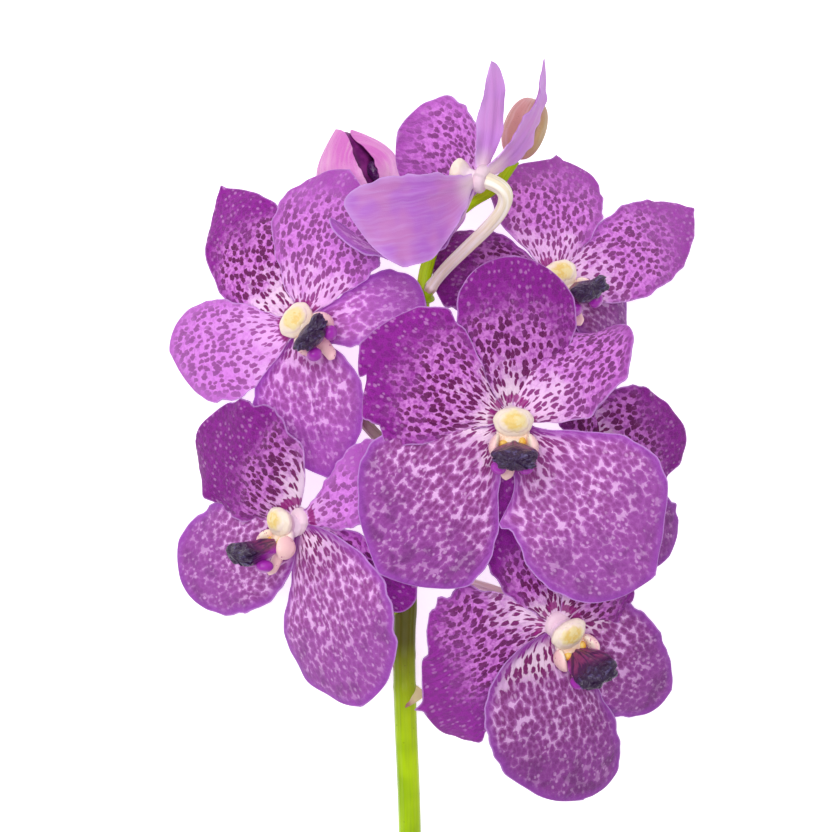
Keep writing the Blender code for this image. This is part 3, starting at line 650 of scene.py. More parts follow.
def petal_finish(care):
    """Pale ground with maroon spots, which turns lilac and then deep violet outwards.

    A spot is where a point is nearer than its reach to its cell's middle. Farther out the
    spots fade and small pale flecks lie over them. Bold bars stand at the foot.
    """
    finish = Finish("petal_face")
    outer, edge, foot, tint = (finish.value(name) for name in ("outer", "edge", "foot", "tint"))
    flat, light, pitch = finish.pattern(), tint.most(0.0), care.spot_pitch / MM
    middle, chance, other = cells(finish, finish.warped(flat, 0.5, 1.7), pitch)
    rough = finish.noise(flat, 1.5, 3.0) - 0.5
    mottle = finish.noise(flat, 0.8)
    out = outer + rough * 0.2 + (finish.noise(flat, 0.13) - 0.5) * 0.55
    mid = out.over(0.06, 0.40)
    far = out.over(0.48, 0.84).most(edge.under(0.6, 4.5) * out.over(0.15, 0.5) * 0.75)
    ground = finish.paint(
        care.ground,
        (mid, care.net),
        (mottle.over(0.44, 0.62) * mid * 0.65, care.violet),
        (far, care.violet),
        (light * (0.5 - far * 0.2), care.glow))
    spot = finish.paint(
        care.spot_bright,
        (mid * (0.5 + chance * 0.5), care.spot),
        (far, care.violet_deep),
        (light * (0.25 + far * 0.15), care.glow))
    drawn = (0.32 + (chance - 0.5) * 0.2 + mid * 0.09 - middle + rough * 0.2).over(-0.06, 0.06)
    drawn = drawn * other.over(0.05, 0.1)
    pale = flecks(finish, flat, pitch, rough) * finish.noise(flat, 0.22, 1.0).over(0.36, 0.56)
    skin = finish.paint(
        ground,
        (drawn * (1.0 - far * 0.5), spot),
        (pale * far * 0.42, care.fleck),
        (foot_bars(finish, flat, foot) * 0.9, care.bar),
        # painted shade: a tint below zero leans the tepal to the shade colour
        ((0.0 - tint).most(0.0) * 0.5, care.shade),
        (edge.under(0.1, 0.7) * 0.6, care.rim))
    return surface(finish, flat, skin, care, mottle * 1.6 - drawn * 0.1)


def sepal_finish(care):
    """White-pink ground with maroon spots at the foot, which widen outwards into mauve.

    A spot is where a point is nearer than its reach to its cell's middle. The reach grows
    outwards until only a net of the ground is left, with pale flecks in crowds, and the outer
    part has deeper patches.
    """
    finish = Finish("sepal_face")
    outer, edge, foot, tint = (finish.value(name) for name in ("outer", "edge", "foot", "tint"))
    flat, light, pitch = finish.pattern(), tint.most(0.0), care.spot_pitch / MM
    middle, chance, _ = cells(finish, finish.warped(flat, 0.5, 1.8), pitch)
    rough = finish.noise(flat, 1.5, 3.0) - 0.5
    crowd = finish.noise(flat, 0.2, 1.0) - 0.5
    out = outer + rough * 0.16 + (finish.noise(flat, 0.11) - 0.5) * 0.4
    mid = out.over(0.06, 0.36)
    far = out.over(0.40, 0.85)
    core = (0.34 + rough * 0.3 - middle).over(-0.12, 0.12)
    body = finish.paint(
        care.spot_bright,
        (mid, care.mauve),
        ((1.0 - core) * mid * 0.6, care.mauve_pale),
        (far * 0.7, care.mauve_far),
        (light * mid * 0.3, care.glow))
    line = finish.paint(
        care.ground,
        (mid * 0.9 + far * 0.1, care.mauve_pale),
        (light * 0.5, care.glow))
    reach = 0.34 + (chance - 0.5) * 0.16 + mid * 0.18 + far * 0.1 - crowd * 0.12
    drawn = (reach - middle + rough * 0.22).over(-0.07, 0.05 + mid * 0.07).most(far * 0.86)
    pale = (middle + rough * 0.45 + crowd * 0.35).over(0.58, 0.71) * (1.0 - far * 0.7)
    small = flecks(finish, flat, pitch, rough) * crowd.over(-0.14, 0.06) * 0.55
    dusk = finish.noise(flat, 0.15).over(0.48, 0.64)
    skin = finish.paint(
        body,
        ((1.0 - drawn) * (0.2 + edge.over(0.5, 3.0) * 0.8), line),
        (pale.most(small) * mid * edge.over(0.8, 3.5), care.drop),
        (dusk * far * (0.34 - light * 0.3), care.shade),
        (foot_bars(finish, flat, foot) * 0.5, care.bar),
        (edge.under(0.4, 3.8) * 0.55, care.margin),
        # painted shade: a tint below zero leans the tepal to the shade colour
        ((0.0 - tint).most(0.0) * 0.5, care.shade),
        (edge.under(0.1, 0.7) * 0.7, care.rim))
    return surface(finish, flat, skin, care, finish.noise(flat, 0.8) * 1.4)


def back_finish(care):
    """The tepals' outer side: lavender-pink with faint lengthwise veins and a pale edge."""
    finish = Finish("tepal_back")
    outer, edge, tint = (finish.value(name) for name in ("outer", "edge", "tint"))
    flat = finish.pattern()
    veins = finish.strokes(finish.warped(flat, 0.15, 2.0), 0.09, 0.9, 3.0)
    skin = finish.paint(
        care.back,
        (finish.noise(flat, 0.09).over(0.35, 0.65), care.back_violet),
        (tint.most(0.0) * 0.6, care.back_glow),
        ((veins - 0.45).most(0.0) * 1.3, care.rim),
        (outer.under(0.06, 0.3) * 0.9, care.back_foot),
        (edge.under(0.3, 2.6) * 0.35, care.rim),
        (edge.under(0.1, 0.7) * 0.6, care.rim))
    return finish.done(skin, 0.5, 0.3, veins + finish.noise(flat, 2.5) * 0.3, 0.00015)


def column_finish(care):
    """Cream flesh, pinker towards its foot, and clouded with yellow on the anther cap."""
    finish = Finish("column_flesh")
    outer, tint, spot = finish.value("outer"), finish.value("tint"), finish.place()
    clouds = finish.noise(spot, 420.0)
    yellow = finish.mix(clouds.over(0.42, 0.58), care.anther, care.anther_pale)
    skin = finish.paint(
        care.cream,
        ((1.0 - outer + (clouds - 0.5) * 0.3).over(0.25, 0.75), care.foot),
        ((tint + (clouds - 0.5) * 1.1).over(0.45, 0.95), yellow))
    return finish.done(skin, 0.42, 0.4, finish.noise(spot, 900.0) + clouds * tint, 0.0002)


def lobe_finish(care):
    """The side lobes: pale pink with cream inner edges and a few magenta dots."""
    finish = Finish("side_lobe")
    spot = finish.place()
    dotted = finish.specks(spot, 900.0).under(0.24, 0.3) * finish.noise(spot, 300.0).over(0.53, 0.6)
    skin = finish.paint(
        care.lobe,
        (finish.value("tint").over(0.1, 0.8), care.cream),
        (dotted * 0.7, care.dots))
    return finish.done(skin, 0.42, 0.4, finish.noise(spot, 700.0), 0.00015)


def plain_finish(name, shade_one, shade_two, scale, roughness):
    """Flesh of one colour clouded with another."""
    finish = Finish(name)
    clouds = finish.noise(finish.place(), scale, 3.0)
    skin = finish.mix(clouds.over(0.35, 0.65), shade_one, shade_two)
    return finish.done(skin, roughness, 0.4, clouds, 0.0002)


def lip_finish(care):
    """Wine above with dark lengthwise lines, violet below, nearly black at the wrinkled tip."""
    finish = Finish("lip_flesh")
    above = finish.value("tint")
    wrinkles = finish.noise(finish.place(), 620.0, 3.0)
    lines = finish.strokes(finish.pattern(), 0.12, 1.2)
    out = finish.value("outer") + (wrinkles - 0.5) * 0.2
    end = out.over(0.6, 0.85) * 0.6
    skin = finish.paint(
        care.violet,
        (above.over(0.3, 0.9), care.wine),
        (lines.over(0.47, 0.57) * above, care.purple),
        (out.over(0.42, 0.66) * 0.85, care.purple),
        (out.over(0.60, 0.84), care.dark),
        ((lines + wrinkles).over(1.05, 1.21) * end, care.glint))
    return finish.done(skin, 0.34, 0.5, wrinkles * (0.15 + end), 0.0018)


def stalk_finish(care):
    """Cream with soft lengthwise streaks, brown where it leaves the stem, and dark with painted
    shade where a stalk lies in the blooms' shadow.
    """
    finish = Finish("flower_stalk")
    foot = finish.value("foot")
    streaks = finish.strokes(finish.pattern(), 0.06, 1.1)
    skin = finish.paint(
        care.cream,
        (streaks.over(0.35, 0.65), care.straw),
        (finish.value("tint"), care.maroon),
        (foot.over(0.6, 1.1) * foot.under(1.8, 3.2) * 0.75, care.collar))
    return finish.done(skin, 0.42, 0.4, streaks, 0.0002)


def stem_finish(care):
    """Yellow-green in clouds, with fine darker fibres and specks, and dark painted shade under the
    lowest blooms, which stands for their shadow.
    """
    finish = Finish("stem_skin")
    flat = finish.pattern()
    fibres = finish.strokes(flat, 0.03, 1.6, 3.0)
    skin = finish.paint(
        care.green,
        (finish.noise(flat, 0.05).over(0.35, 0.65), care.lime),
        ((fibres - 0.45).most(0.0) * 0.9, care.deep),
        (finish.specks(flat, 0.35).under(0.07, 0.12) * 0.35, care.deep),
        # painted shade: the stem darkens where the lowest blooms shadow it
        (finish.value("tint") * 0.9, care.painted_shade_olive))
    return finish.done(skin, 0.4, 0.25, fibres, 0.0002)


def bract_finish(care):
    """Pale yellow-green, browned with pink at the tip."""
    finish = Finish("bract_skin")
    fibres = finish.strokes(finish.pattern(), 0.2, 2.0)
    tip = (finish.value("outer") + fibres * 0.3).over(0.65, 1.0)
    return finish.done(finish.mix(tip, care.bract, care.bract_tip), 0.55, 0.3, fibres, 0.0002)


def bud_finish(name, skin_one, skin_two, care):
    """A bud's skin: clouded from one colour to another, veined lengthwise and finely specked."""
    finish = Finish(name)
    flat = finish.pattern()
    veins = finish.strokes(finish.warped(flat, 0.2, 1.5), 0.08, 0.8)
    out = finish.value("outer") + (finish.noise(flat, 0.15) - 0.5) * 0.5
    skin = finish.paint(
        skin_one,
        (out.over(0.15, 0.9), skin_two),
        (finish.value("tint"), care.green),
        ((veins - 0.45).most(0.0) * 1.2, care.vein),
        (finish.specks(flat, 1.4).under(0.12, 0.2) * 0.3, care.specks))
    return finish.done(skin, 0.48, 0.35, veins, 0.0003)


class TepalSettings(bpy.types.PropertyGroup):
    """Sizes and colours of the petals and sepals."""

    thickness: length("Thickness", "Thickness of a tepal at its middle", 0.75)
    edge_thickness: length("Edge thickness", "Thickness of a tepal at its edge", 0.35)
    crease: length("Crease", "Depth of the furrow along the midrib", 0.45)
    pucker: length("Pucker", "Height of the blade's slow waves", 0.45)
    spot_pitch: length("Spot pitch", "Distance from one spot to the next", 1.8)
    across: IntProperty(name="Steps across", description="Grid steps over a tepal's width",
                        default=40, min=8, max=96)
    along: IntProperty(name="Steps along", description="Grid steps over a tepal's length",
                       default=60, min=12, max=128)
    ground: colour("Ground", "Between the spots near a bloom's middle", 245, 214, 241)
    net: colour("Net", "Between the spots farther out", 214, 126, 218)
    fleck: colour("Fleck", "Small pale flecks", 224, 164, 226)
    spot: colour("Spot", "The darkest spots", 94, 4, 80)
    spot_bright: colour("Bright spot", "The spots near a bloom's middle", 124, 20, 98)
    bar: colour("Bar", "Bold patches at a tepal's foot", 152, 26, 124)
    violet: colour("Violet", "The outer part of a petal", 142, 14, 148)
    violet_deep: colour("Deep violet", "Spots in the outer part of a petal", 110, 8, 114)
    mauve: colour("Mauve", "Spots in the lower sepals", 142, 58, 134)
    mauve_pale: colour("Pale mauve", "Between the spots in the lower sepals", 182, 100, 184)
    mauve_far: colour("Far mauve", "The outer part of the lower sepals", 148, 62, 160)
    drop: colour("Drop", "Pale flecks in the lower sepals", 238, 184, 242)
    margin: colour("Margin", "A band inside the lower sepals' edge", 162, 68, 192)
    rim: colour("Rim", "The thin pale edge", 206, 156, 226)
    glow: colour("Glow", "What the brighter tepals lean to", 232, 138, 246)
    back_glow: colour("Back, glow", "What the brighter tepals' outer sides lean to", 236, 172, 252)
    # Painted shade for tepals that lie under others, and a deeper tone: what a tint below zero
    # leans to; the sepals' darker outer patches use it too
    shade: colour("Shade", "What the deeper tepals lean to", 60, 4, 62)
    back: colour("Back", "The outer side of a tepal", 192, 118, 190)
    back_violet: colour("Back, violet", "The outer side where it is more violet", 180, 104, 202)
    back_foot: colour("Back, foot", "The outer side near a bloom's middle", 238, 212, 222)


class ColumnSettings(bpy.types.PropertyGroup):
    """Colours of the column, its anther cap and the pale parts of the lip."""

    cream: colour("Cream", "The column's upper part", 246, 228, 212)
    foot: colour("Foot", "The column's lower part", 240, 216, 230)
    anther: colour("Anther", "The anther cap", 234, 200, 110)
    anther_pale: colour("Pale anther", "Ridges of the anther cap", 240, 220, 162)
    lobe: colour("Lobe", "The side lobes", 250, 206, 204)
    peach: colour("Peach", "The lip's floor between the side lobes", 232, 186, 156)
    callus: colour("Callus", "The swellings between the side lobes", 240, 172, 36)
    dots: colour("Dots", "Dots on the side lobes", 176, 40, 130)


class LipSettings(bpy.types.PropertyGroup):
    """Sizes and colours of the lips' dark tongues."""

    keel: length("Keel", "Height of the lengthwise ridges", 0.5)
    violet: colour("Violet", "The tongue's underside and its flares", 170, 44, 178)
    wine: colour("Wine", "The tongue's upper side", 128, 44, 98)
    purple: colour("Purple", "Lines and the outer half of the tongue", 66, 14, 72)
    dark: colour("Dark", "The tongue's tip", 46, 12, 60)
    glint: colour("Glint", "Wrinkles that catch the light", 98, 84, 138)


class StalkSettings(bpy.types.PropertyGroup):
    """Sizes and colours of the flower stalks."""

    ridge: length("Ridge", "Height of the lengthwise ridges", 0.16)
    cream: colour("Cream", "The stalk", 252, 244, 234)
    straw: colour("Straw", "Its streaks", 238, 224, 196)
    collar: colour("Collar", "Where it leaves the stem", 150, 104, 70)
    # Painted shade: the colour of a stalk that lies in the blooms' shadow
    maroon: colour("Maroon", "What a dark stalk leans to", 96, 44, 50)


class StemSettings(bpy.types.PropertyGroup):
    """Sizes and colours of the stem and its bracts."""

    ridge: length("Ridge", "Height of the lengthwise ridges", 0.08)
    green: colour("Green", "The stem", 148, 184, 0)
    lime: colour("Lime", "Its brighter parts", 178, 212, 4)
    deep: colour("Deep green", "Its fibres", 96, 124, 16)
    # Painted shade: the colour that stands for the lowest blooms' shadow on the stem
    painted_shade_olive: colour("Olive", "The stem under the lowest blooms", 72, 74, 6)
    pith: colour("Pith", "The cut end", 206, 220, 150)
    bract: colour("Bract", "The bracts", 220, 216, 150)
    bract_tip: colour("Bract tip", "The bracts' tips", 168, 118, 110)


class BudSettings(bpy.types.PropertyGroup):
    """Colours of the closed bud and the opening one."""

    beige: colour("Beige", "The closed bud", 206, 154, 134)
    rose: colour("Rose", "The closed bud's tip", 190, 124, 128)
    green: colour("Green", "Where the closed bud is green", 168, 168, 70)
    pink: colour("Pink", "The opening bud", 240, 190, 226)
    mauve: colour("Mauve", "The opening bud's tip", 206, 104, 190)
    inside: colour("Inside", "Inside the opening bud", 150, 44, 140)
    inside_deep: colour("Inside, deep", "Darker patches inside the opening bud", 112, 20, 108)
    vein: colour("Vein", "The buds' veins", 236, 206, 214)
    specks: colour("Specks", "The buds' specks", 130, 80, 70)


class StageSettings(bpy.types.PropertyGroup):
    """The table, the lights and the camera."""

    floor: colour("Table", "The table's top", 250, 250, 250)
    floor_glow: FloatProperty(name="Table glow", description="Light given off by the table's top",
                              default=0.55, min=0.0)
    key_power: FloatProperty(name="Key light", description="Power of the large lamp above",
                             subtype="POWER", default=12.0, min=0.0)
    top_light: FloatProperty(name="Top light", default=1.5, min=0.0,
                             description="Strength of the soft light from straight above")
    sky: FloatProperty(name="Sky", description="Strength of the even light from all sides",
                       default=0.32, min=0.0)
    camera_height: FloatProperty(name="Camera height", description="Above the table",
                                 unit="LENGTH", default=1.06, min=0.1)
    lens: FloatProperty(name="Lens", description="Focal length in millimetres",
                        default=139.5, min=10.0)


def midrib(shape, face, v):
    """A tepal's midrib, a quadratic Bezier curve, and the directions along, across and out of
    the blade at each of its points, turned about it by roll and twist."""
    tip = np.array(shape["tip"])
    foot = unit(tip) * MIDRIB_START
    side = unit(np.cross(tip - foot, face))
    rise = np.cross(side, unit(tip - foot))
    bend = (foot + tip) / 2.0 + side * shape["bow"][0] * 2.0 + rise * shape["bow"][1] * 2.0
    rib = (1 - v) ** 2 * foot + 2 * v * (1 - v) * bend + v ** 2 * tip
    ahead = unit((1 - v) * (bend - foot) + v * (tip - bend))
    side = unit(np.cross(ahead, face))
    rise = np.cross(side, ahead)
    turn = np.radians(shape["roll"] + shape["twist"] * v)
    return (rib, ahead, side * np.cos(turn) + rise * np.sin(turn),
            rise * np.cos(turn) - side * np.sin(turn))


def tepal_outline(shape, u, v):
    """A tepal's half width, and how far along its two sides are widest.

    The half width at v along it is wide * v^claw * (1 - v)^blunt over its own peak, joined to
    the neck by the root of the sum of squares, and swelled by the bell curves of its lobes.
    """
    claw = np.where(u < 0.0, *shape["claw"])
    blunt = np.where(u < 0.0, *shape["blunt"])
    top = claw / (claw + blunt)
    half = v ** claw * (1 - v) ** blunt / (top ** claw * (1 - top) ** blunt)
    half = np.where(u < 0.0, *shape["wide"]) * half
    half = np.sqrt(half ** 2 + (NECK * (1 - v) ** 2) ** 2)
    for where, share, place, size in shape["lobes"]:
        half = half * (1.0 + share * np.exp(-((v - place) / size) ** 2) * (u * where > 0.0))
    return half, top


def tepal_relief(shape, care, rng, u, v, half, y):
    """A tepal's half width with its fine waves, and its height over the midrib's plane.

    The height is a parabola across, the edge's sine wave, finer waves at three pitches that
    grow to the edge, slow waves over the whole blade and a furrow exp(-x^2) along the midrib.
    """
    taper = np.sqrt(v * (1 - v)) * 2.0
    frill, scallop = 0.0, 0.0
    for pitch, weight in EDGE_WAVES:
        starts = rng.uniform(0.0, tau, 4)
        phase = tau * pitch * v + np.where(u < 0.0, starts[0], starts[1])
        frill = frill + weight * np.sin(phase)
        scallop = scallop + weight * np.sin(phase * 0.93 + starts[2])
    half = half + shape["scallop"] * scallop * taper * np.abs(u) ** 2
    height, count, start = shape["wave"]
    phase = tau * (count * v + start) + np.where(u < 0.0, 0.0, 1.9)
    lift = shape["cup"] * half * u ** 2 + height * np.abs(u) ** 2.5 * np.sin(phase) * taper
    lift = lift + shape["frill"] * frill * taper * np.abs(u) ** 5
    x = half * u
    for _ in range(5):
        angle, pitch, start = rng.uniform(0.0, tau), rng.uniform(11.0, 24.0), rng.uniform(0.0, tau)
        slow = np.sin(tau * (x * np.cos(angle) + y * np.sin(angle)) / pitch + start)
        lift = lift + care.pucker / MM * 0.45 * slow * v * (0.25 + 0.75 * np.abs(u))
    furrow = np.exp(-(x / 1.3) ** 2) * np.sin(pi * np.minimum(v * 1.15, 1.0)) ** 0.7
    return half, lift - care.crease / MM * furrow


def tepal_pattern(half, top, u, v, y, shift):
    """Each point's place in the pattern: its lines fan out from the foot and then run on."""
    growing = np.clip(v / top, 0.0, 1.0)
    near = half * (0.45 + 0.55 * growing) + float(half.max()) * 0.45 * (1 - growing)
    fan = u * np.where(v < top, near, half)
    pace = 0.5 + 0.5 * np.minimum(v * 2.0, 1.0)
    run = np.cumsum(np.concatenate([[0.0], np.diff(y[:, 0])])[:, None] * pace, axis=0)
    return np.stack(np.broadcast_arrays(fan + shift[0], run + shift[1]), axis=-1).reshape(-1, 2)


def tepal_parts(shape, flower, seed, care):
    """A tepal as a closed blade: its two sides and the strip round its edge.

    u runs across it from -1 to 1, and v along it from 0 to nearly 1, closer at both ends.
    """
    rng = np.random.default_rng(seed)
    v = TIP_END * (1.0 - np.cos(pi * np.linspace(0.0, 1.0, care.along + 1)))[:, None] / 2.0
    u = np.linspace(-1.0, 1.0, care.across + 1)[None, :]
    face = unit(shape["face"] or flower.get("faces", flower["looks"]))
    rib, ahead, side, rise = midrib(shape, face, v)
    reach = np.linalg.norm(shape["tip"])
    y = v * (reach - MIDRIB_START)
    half, top = tepal_outline(shape, u, v)
    half, lift = tepal_relief(shape, care, rng, u, v, half, y)
    x = half * u
    points = rib[:, None] + side[:, None] * x[:, :, None] + rise[:, None] * lift[:, :, None]
    nub = shape["nub"] * np.exp(-(x / 1.2) ** 2 - ((1 - v) * reach / 1.8) ** 2)
    points = points + ahead[:, None] * nub[:, :, None] + np.array(flower["middle"])
    normal = unit(np.cross(np.gradient(points, axis=1), np.gradient(points, axis=0)))
    thick = care.thickness / MM * (1 - np.abs(u) ** 4) * (1 - v ** 6)
    thick = (thick + care.edge_thickness / MM) / 2.0
    front = points + normal * thick[:, :, None]
    back = points - normal * thick[:, :, None]

    rows, columns = points.shape[:2]
    index = np.arange(rows * columns).reshape(rows, columns)
    loop = np.concatenate([index[0, :-1], index[:-1, -1], index[-1, :0:-1], index[:0:-1, 0]])
    after = np.roll(loop, -1)
    strip = np.stack([loop, loop + rows * columns, after + rows * columns, after], axis=1)
    faces = grid_faces(rows, columns)
    flat = points.reshape(-1, 3)
    edge = np.min(np.linalg.norm(flat[:, None, :] - flat[loop][None, :, :], axis=2), axis=1)
    away = np.linalg.norm(flat - np.array(flower["middle"]), axis=1)
    uv = tepal_pattern(half, top, u, v, y, rng.uniform(0.0, 400.0, 2))
    outer = np.clip(v * (1.0 + 0.25 * u ** 2) * shape["deep"], 0.0, 1.2).ravel()
    slot = int(shape["kind"] == "sepal")
    return part(np.vstack([front.reshape(-1, 3), back.reshape(-1, 3)]),
                [faces, faces[:, ::-1] + rows * columns, strip], [slot, 2, slot],
                np.tile(uv, (2, 1)), np.tile(outer, 2), np.tile(edge, 2), np.tile(away, 2),
                shape["tint"])


def base_part(flower):
    """The flat base that the tepals grow from: rings whose radius rounds off at both ends."""
    right, up, ahead = flower_axes(flower)
    t = np.linspace(0.0, 1.0, 12)
    middle = (BASE_FRONT + BASE_BACK) / 2.0
    along = middle - np.cos(pi * t) * (BASE_FRONT - middle)
    line = np.array(flower["middle"]) + ahead * along[:, None]
    radius = BASE_RADIUS * np.sin(pi * (0.02 + 0.96 * t)) ** 0.35
    made = loft(line, right, up, radius, radius, 32, 2, foot=2.0)
    made["outer"][:] = 0.05
    return made


def make_perianth(label, flower, number, materials, care, more=()):
    """A bloom's tepals and their base, with any other parts that stand among them."""
    parts = [tepal_parts(shape, flower, 100 * number + turn, care)
             for turn, shape in enumerate(flower["tepals"])]
    parts += [base_part(flower), *more]
    make_piece("tepals_" + label, parts, materials, ["perianth_" + label])


def make_column(label, flower, materials):
    """The column: a flaring post with its anther cap, and the lip's floor, callus, side lobes
    and spur.

    Each is an ellipsoid or a loft in the flower's own axes, the post with sines about it, the
    cap with a furrow and the lobes bent outwards by a parabola. The tint rises to 1 within an
    ellipse about the anther cap, and on the side lobes' inner edges.
    """
    right, up, ahead = np.eye(3)
    steps = np.linspace(0.0, 1.0, 36)
    wide, high = (np.interp(steps, COLUMN_STOPS, sizes) for sizes in (COLUMN_WIDE, COLUMN_HIGH))
    post = loft(bezier(COLUMN_LINE, 36), right, up, wide, high, 64, bumps=lambda t, turn:
                0.06 * t * np.cos(3 * (turn + pi / 2)) + 0.02 * t * np.sin(9 * turn))
    foot = ball(flower, (0.0, -4.4, 4.8), (5.2, 4.0, 2.5))
    cap = ball(None, (0.0, -0.1, 8.2), (4.9, 3.8, 1.6), rings=28, sides=72,
               bumps=lambda t, turn: -np.sin(pi * t) * 0.14 * np.exp(-(np.cos(turn) / 0.16) ** 2))
    for made in (post, cap):
        x, y, z = made["points"].T
        made["tint"] = np.clip(1.6 - np.hypot(x / 4.1, (y + 0.1) / 3.2), 0.0, 1.0) * (z > 7.2)
        made["points"] = in_flower(flower, made["points"])
    floor = ball(flower, (0.0, -6.4, 5.6), (4.6, 3.6, 2.4), 3)
    callus = [ball(flower, (-2.9, -7.2, 6.9), (1.5, 1.5, 1.6), 1),
              ball(flower, (2.6, -6.5, 6.9), (1.3, 1.6, 1.6), 1)]
    lobes = []
    for side, wide in ((-1.0, 1.5), (1.0, 1.7)):
        lobe = ball(None, (side * 5.6, -7.6, 7.0), (wide, 3.8, 3.5), 2, tilt=(6.0, side * 8.0))
        x, y, z = lobe["points"].T
        lobe["points"][:, 0] = x + side * 0.9 * (1.0 - ((y + 7.6) / 3.8) ** 2) - side * 0.5
        lobe["tint"] = np.clip(5.8 - x * side, 0.0, 1.0) * (z > 7.0)
        lobe["points"] = in_flower(flower, lobe["points"])
        lobes.append(lobe)
    steps = np.linspace(0.0, 1.0, 20)
    round_end = np.sqrt(np.clip((1.0 - steps) / 0.12, 0.02, 1.0))
    spur = loft(bezier(SPUR_LINE, 20), right, -ahead, (2.4 - 0.5 * steps) * round_end,
                (1.8 - 0.3 * steps) * round_end, 24, 2)
    spur["points"] = in_flower(flower, spur["points"])
    make_piece("column_parts_" + label, [post, foot, cap, floor, *callus, *lobes, spur],
               materials, ["column_" + label])


def make_lip(label, flower, material, care):
    """The dark tongue: ellipses along a curve, with two violet flares under it.

    Keels run along its upper side, finer folds along its end, and its tip is notched into two
    lobes. Sines of its place crumple its outer half, and a bell curve widens it near its foot.
    """
    count, sides = 44, 64
    line = bezier(LIP_LINE, count)
    right = np.array((1.0, 0.0, 0.0))
    rise = np.cross(unit(np.gradient(line, axis=0)), right)
    t = np.linspace(0.0, 1.0, count)
    stops = np.linspace(0.0, 1.0, len(LIP_WIDE))
    blunt = np.minimum(1.0, np.sqrt((1.0 - t) / 0.07 + 0.02))
    wide = np.interp(t, stops, LIP_WIDE) * blunt * (1.0 + 0.14 * t)
    high = (np.interp(t, stops, LIP_HIGH) + 0.9 * np.clip(t * 2.0 - 1.0, 0.0, 1.0)) * blunt

    def relief(t, turn):
        """The keels, the folds near the tip and the tip's notch."""
        above = np.exp(-(np.cos(turn) / 0.9) ** 4) * (np.sin(turn) > 0.0)
        keels = care.keel / MM / 3.0 * above * np.cos(6 * (turn - pi / 2)) * (1.0 - t)
        end = np.clip((t - 0.55) / 0.3, 0.0, 1.0)
        folds = 0.05 * end * np.cos(9 * turn + 5.0 * t) + 0.03 * end * np.cos(17 * turn - 7.0 * t)
        notch = -0.42 * np.exp(-(np.cos(turn) / 0.30) ** 2) * np.clip((t - 0.72) / 0.28, 0.0, 1.0)
        return keels + folds + notch

    made = loft(line, right, rise, wide, high, sides, bumps=relief)
    x, y, z = made["points"].T
    crumpled = np.clip(made["outer"] * 2.2 - 1.1, 0.0, 1.0)[:, None]
    for size, scale in ((0.45, 0.7), (0.12, 2.1)):
        folds = np.stack([np.sin(scale * (1.9 * y + 1.3 * z) + 1.0),
                          np.sin(scale * (1.6 * z + 1.7 * x) + 2.0),
                          np.sin(scale * (2.1 * x + 1.4 * y) + 0.5)], axis=1)
        made["points"] = made["points"] + folds * size * crumpled
    made["points"][:, 0] *= 1.0 + 0.7 * np.exp(-((y + 8.6) / 1.6) ** 2)
    upper = np.clip(np.sin(np.linspace(0.0, tau, sides, endpoint=False)) * 1.5, 0.0, 1.0)
    made["tint"] = np.concatenate([np.tile(upper, count), [0.0, 1.0]])
    made["points"] = in_flower(flower, made["points"])
    flares = [ball(flower, (hand * 4.2 - 0.6, -14.0, 12.4), (2.4, 2.0, 3.0),
                   tilt=(0.0, hand * 20.0)) for hand in (-1.0, 1.0)]
    for flare in flares:
        flare["outer"][:] = 0.0
    make_piece("tongue_" + label, [made, *flares], [material], ["lip_" + label])


def stalk_line(flower, steps):
    """A flower stalk's middle line, from inside its stub to inside the flower's base."""
    root = stem_point(flower["root"])
    out = unit(flower["start"])
    ahead = unit(flower["looks"])
    first = root + out * (STUB_REACH - 0.4)
    last = np.array(flower["middle"]) + ahead * (BASE_BACK + 0.4)
    reach = np.linalg.norm(last - first)
    bends = [first + out * reach * STALK_PULL,
             last - ahead * reach * flower.get("pull", STALK_PULL)]
    return bezier([first, *bends, last], steps)


def make_stalk(label, flower, material, care, dark):
    """A ridged stalk: its radius grows evenly to the ovary, with a ring near the stem, times
    six slowly turning ridges."""
    line = stalk_line(flower, 60)
    side, rise = carried_frames(line)
    t = np.linspace(0.0, 1.0, 60)
    radius = STALK_RADIUS + (OVARY_RADIUS - STALK_RADIUS) * t
    radius = radius * (1.0 + 0.16 * np.exp(-((t - 0.03) / 0.025) ** 2))
    ridge = care.ridge / MM / OVARY_RADIUS
    # tint=dark lays the painted shade of a stalk in the blooms' shadow
    made = loft(line, side, rise, radius, radius, 36, tint=dark, bumps=lambda t, turn:
                ridge * (np.cos(6 * turn + 2.2 * t) + 0.4 * np.sin(3 * turn + 4 * t)))
    made["foot"] = np.linalg.norm(made["points"] - line[0], axis=1)
    make_piece("flower_stalk_" + label, [made], [material], ["stalk_" + label])


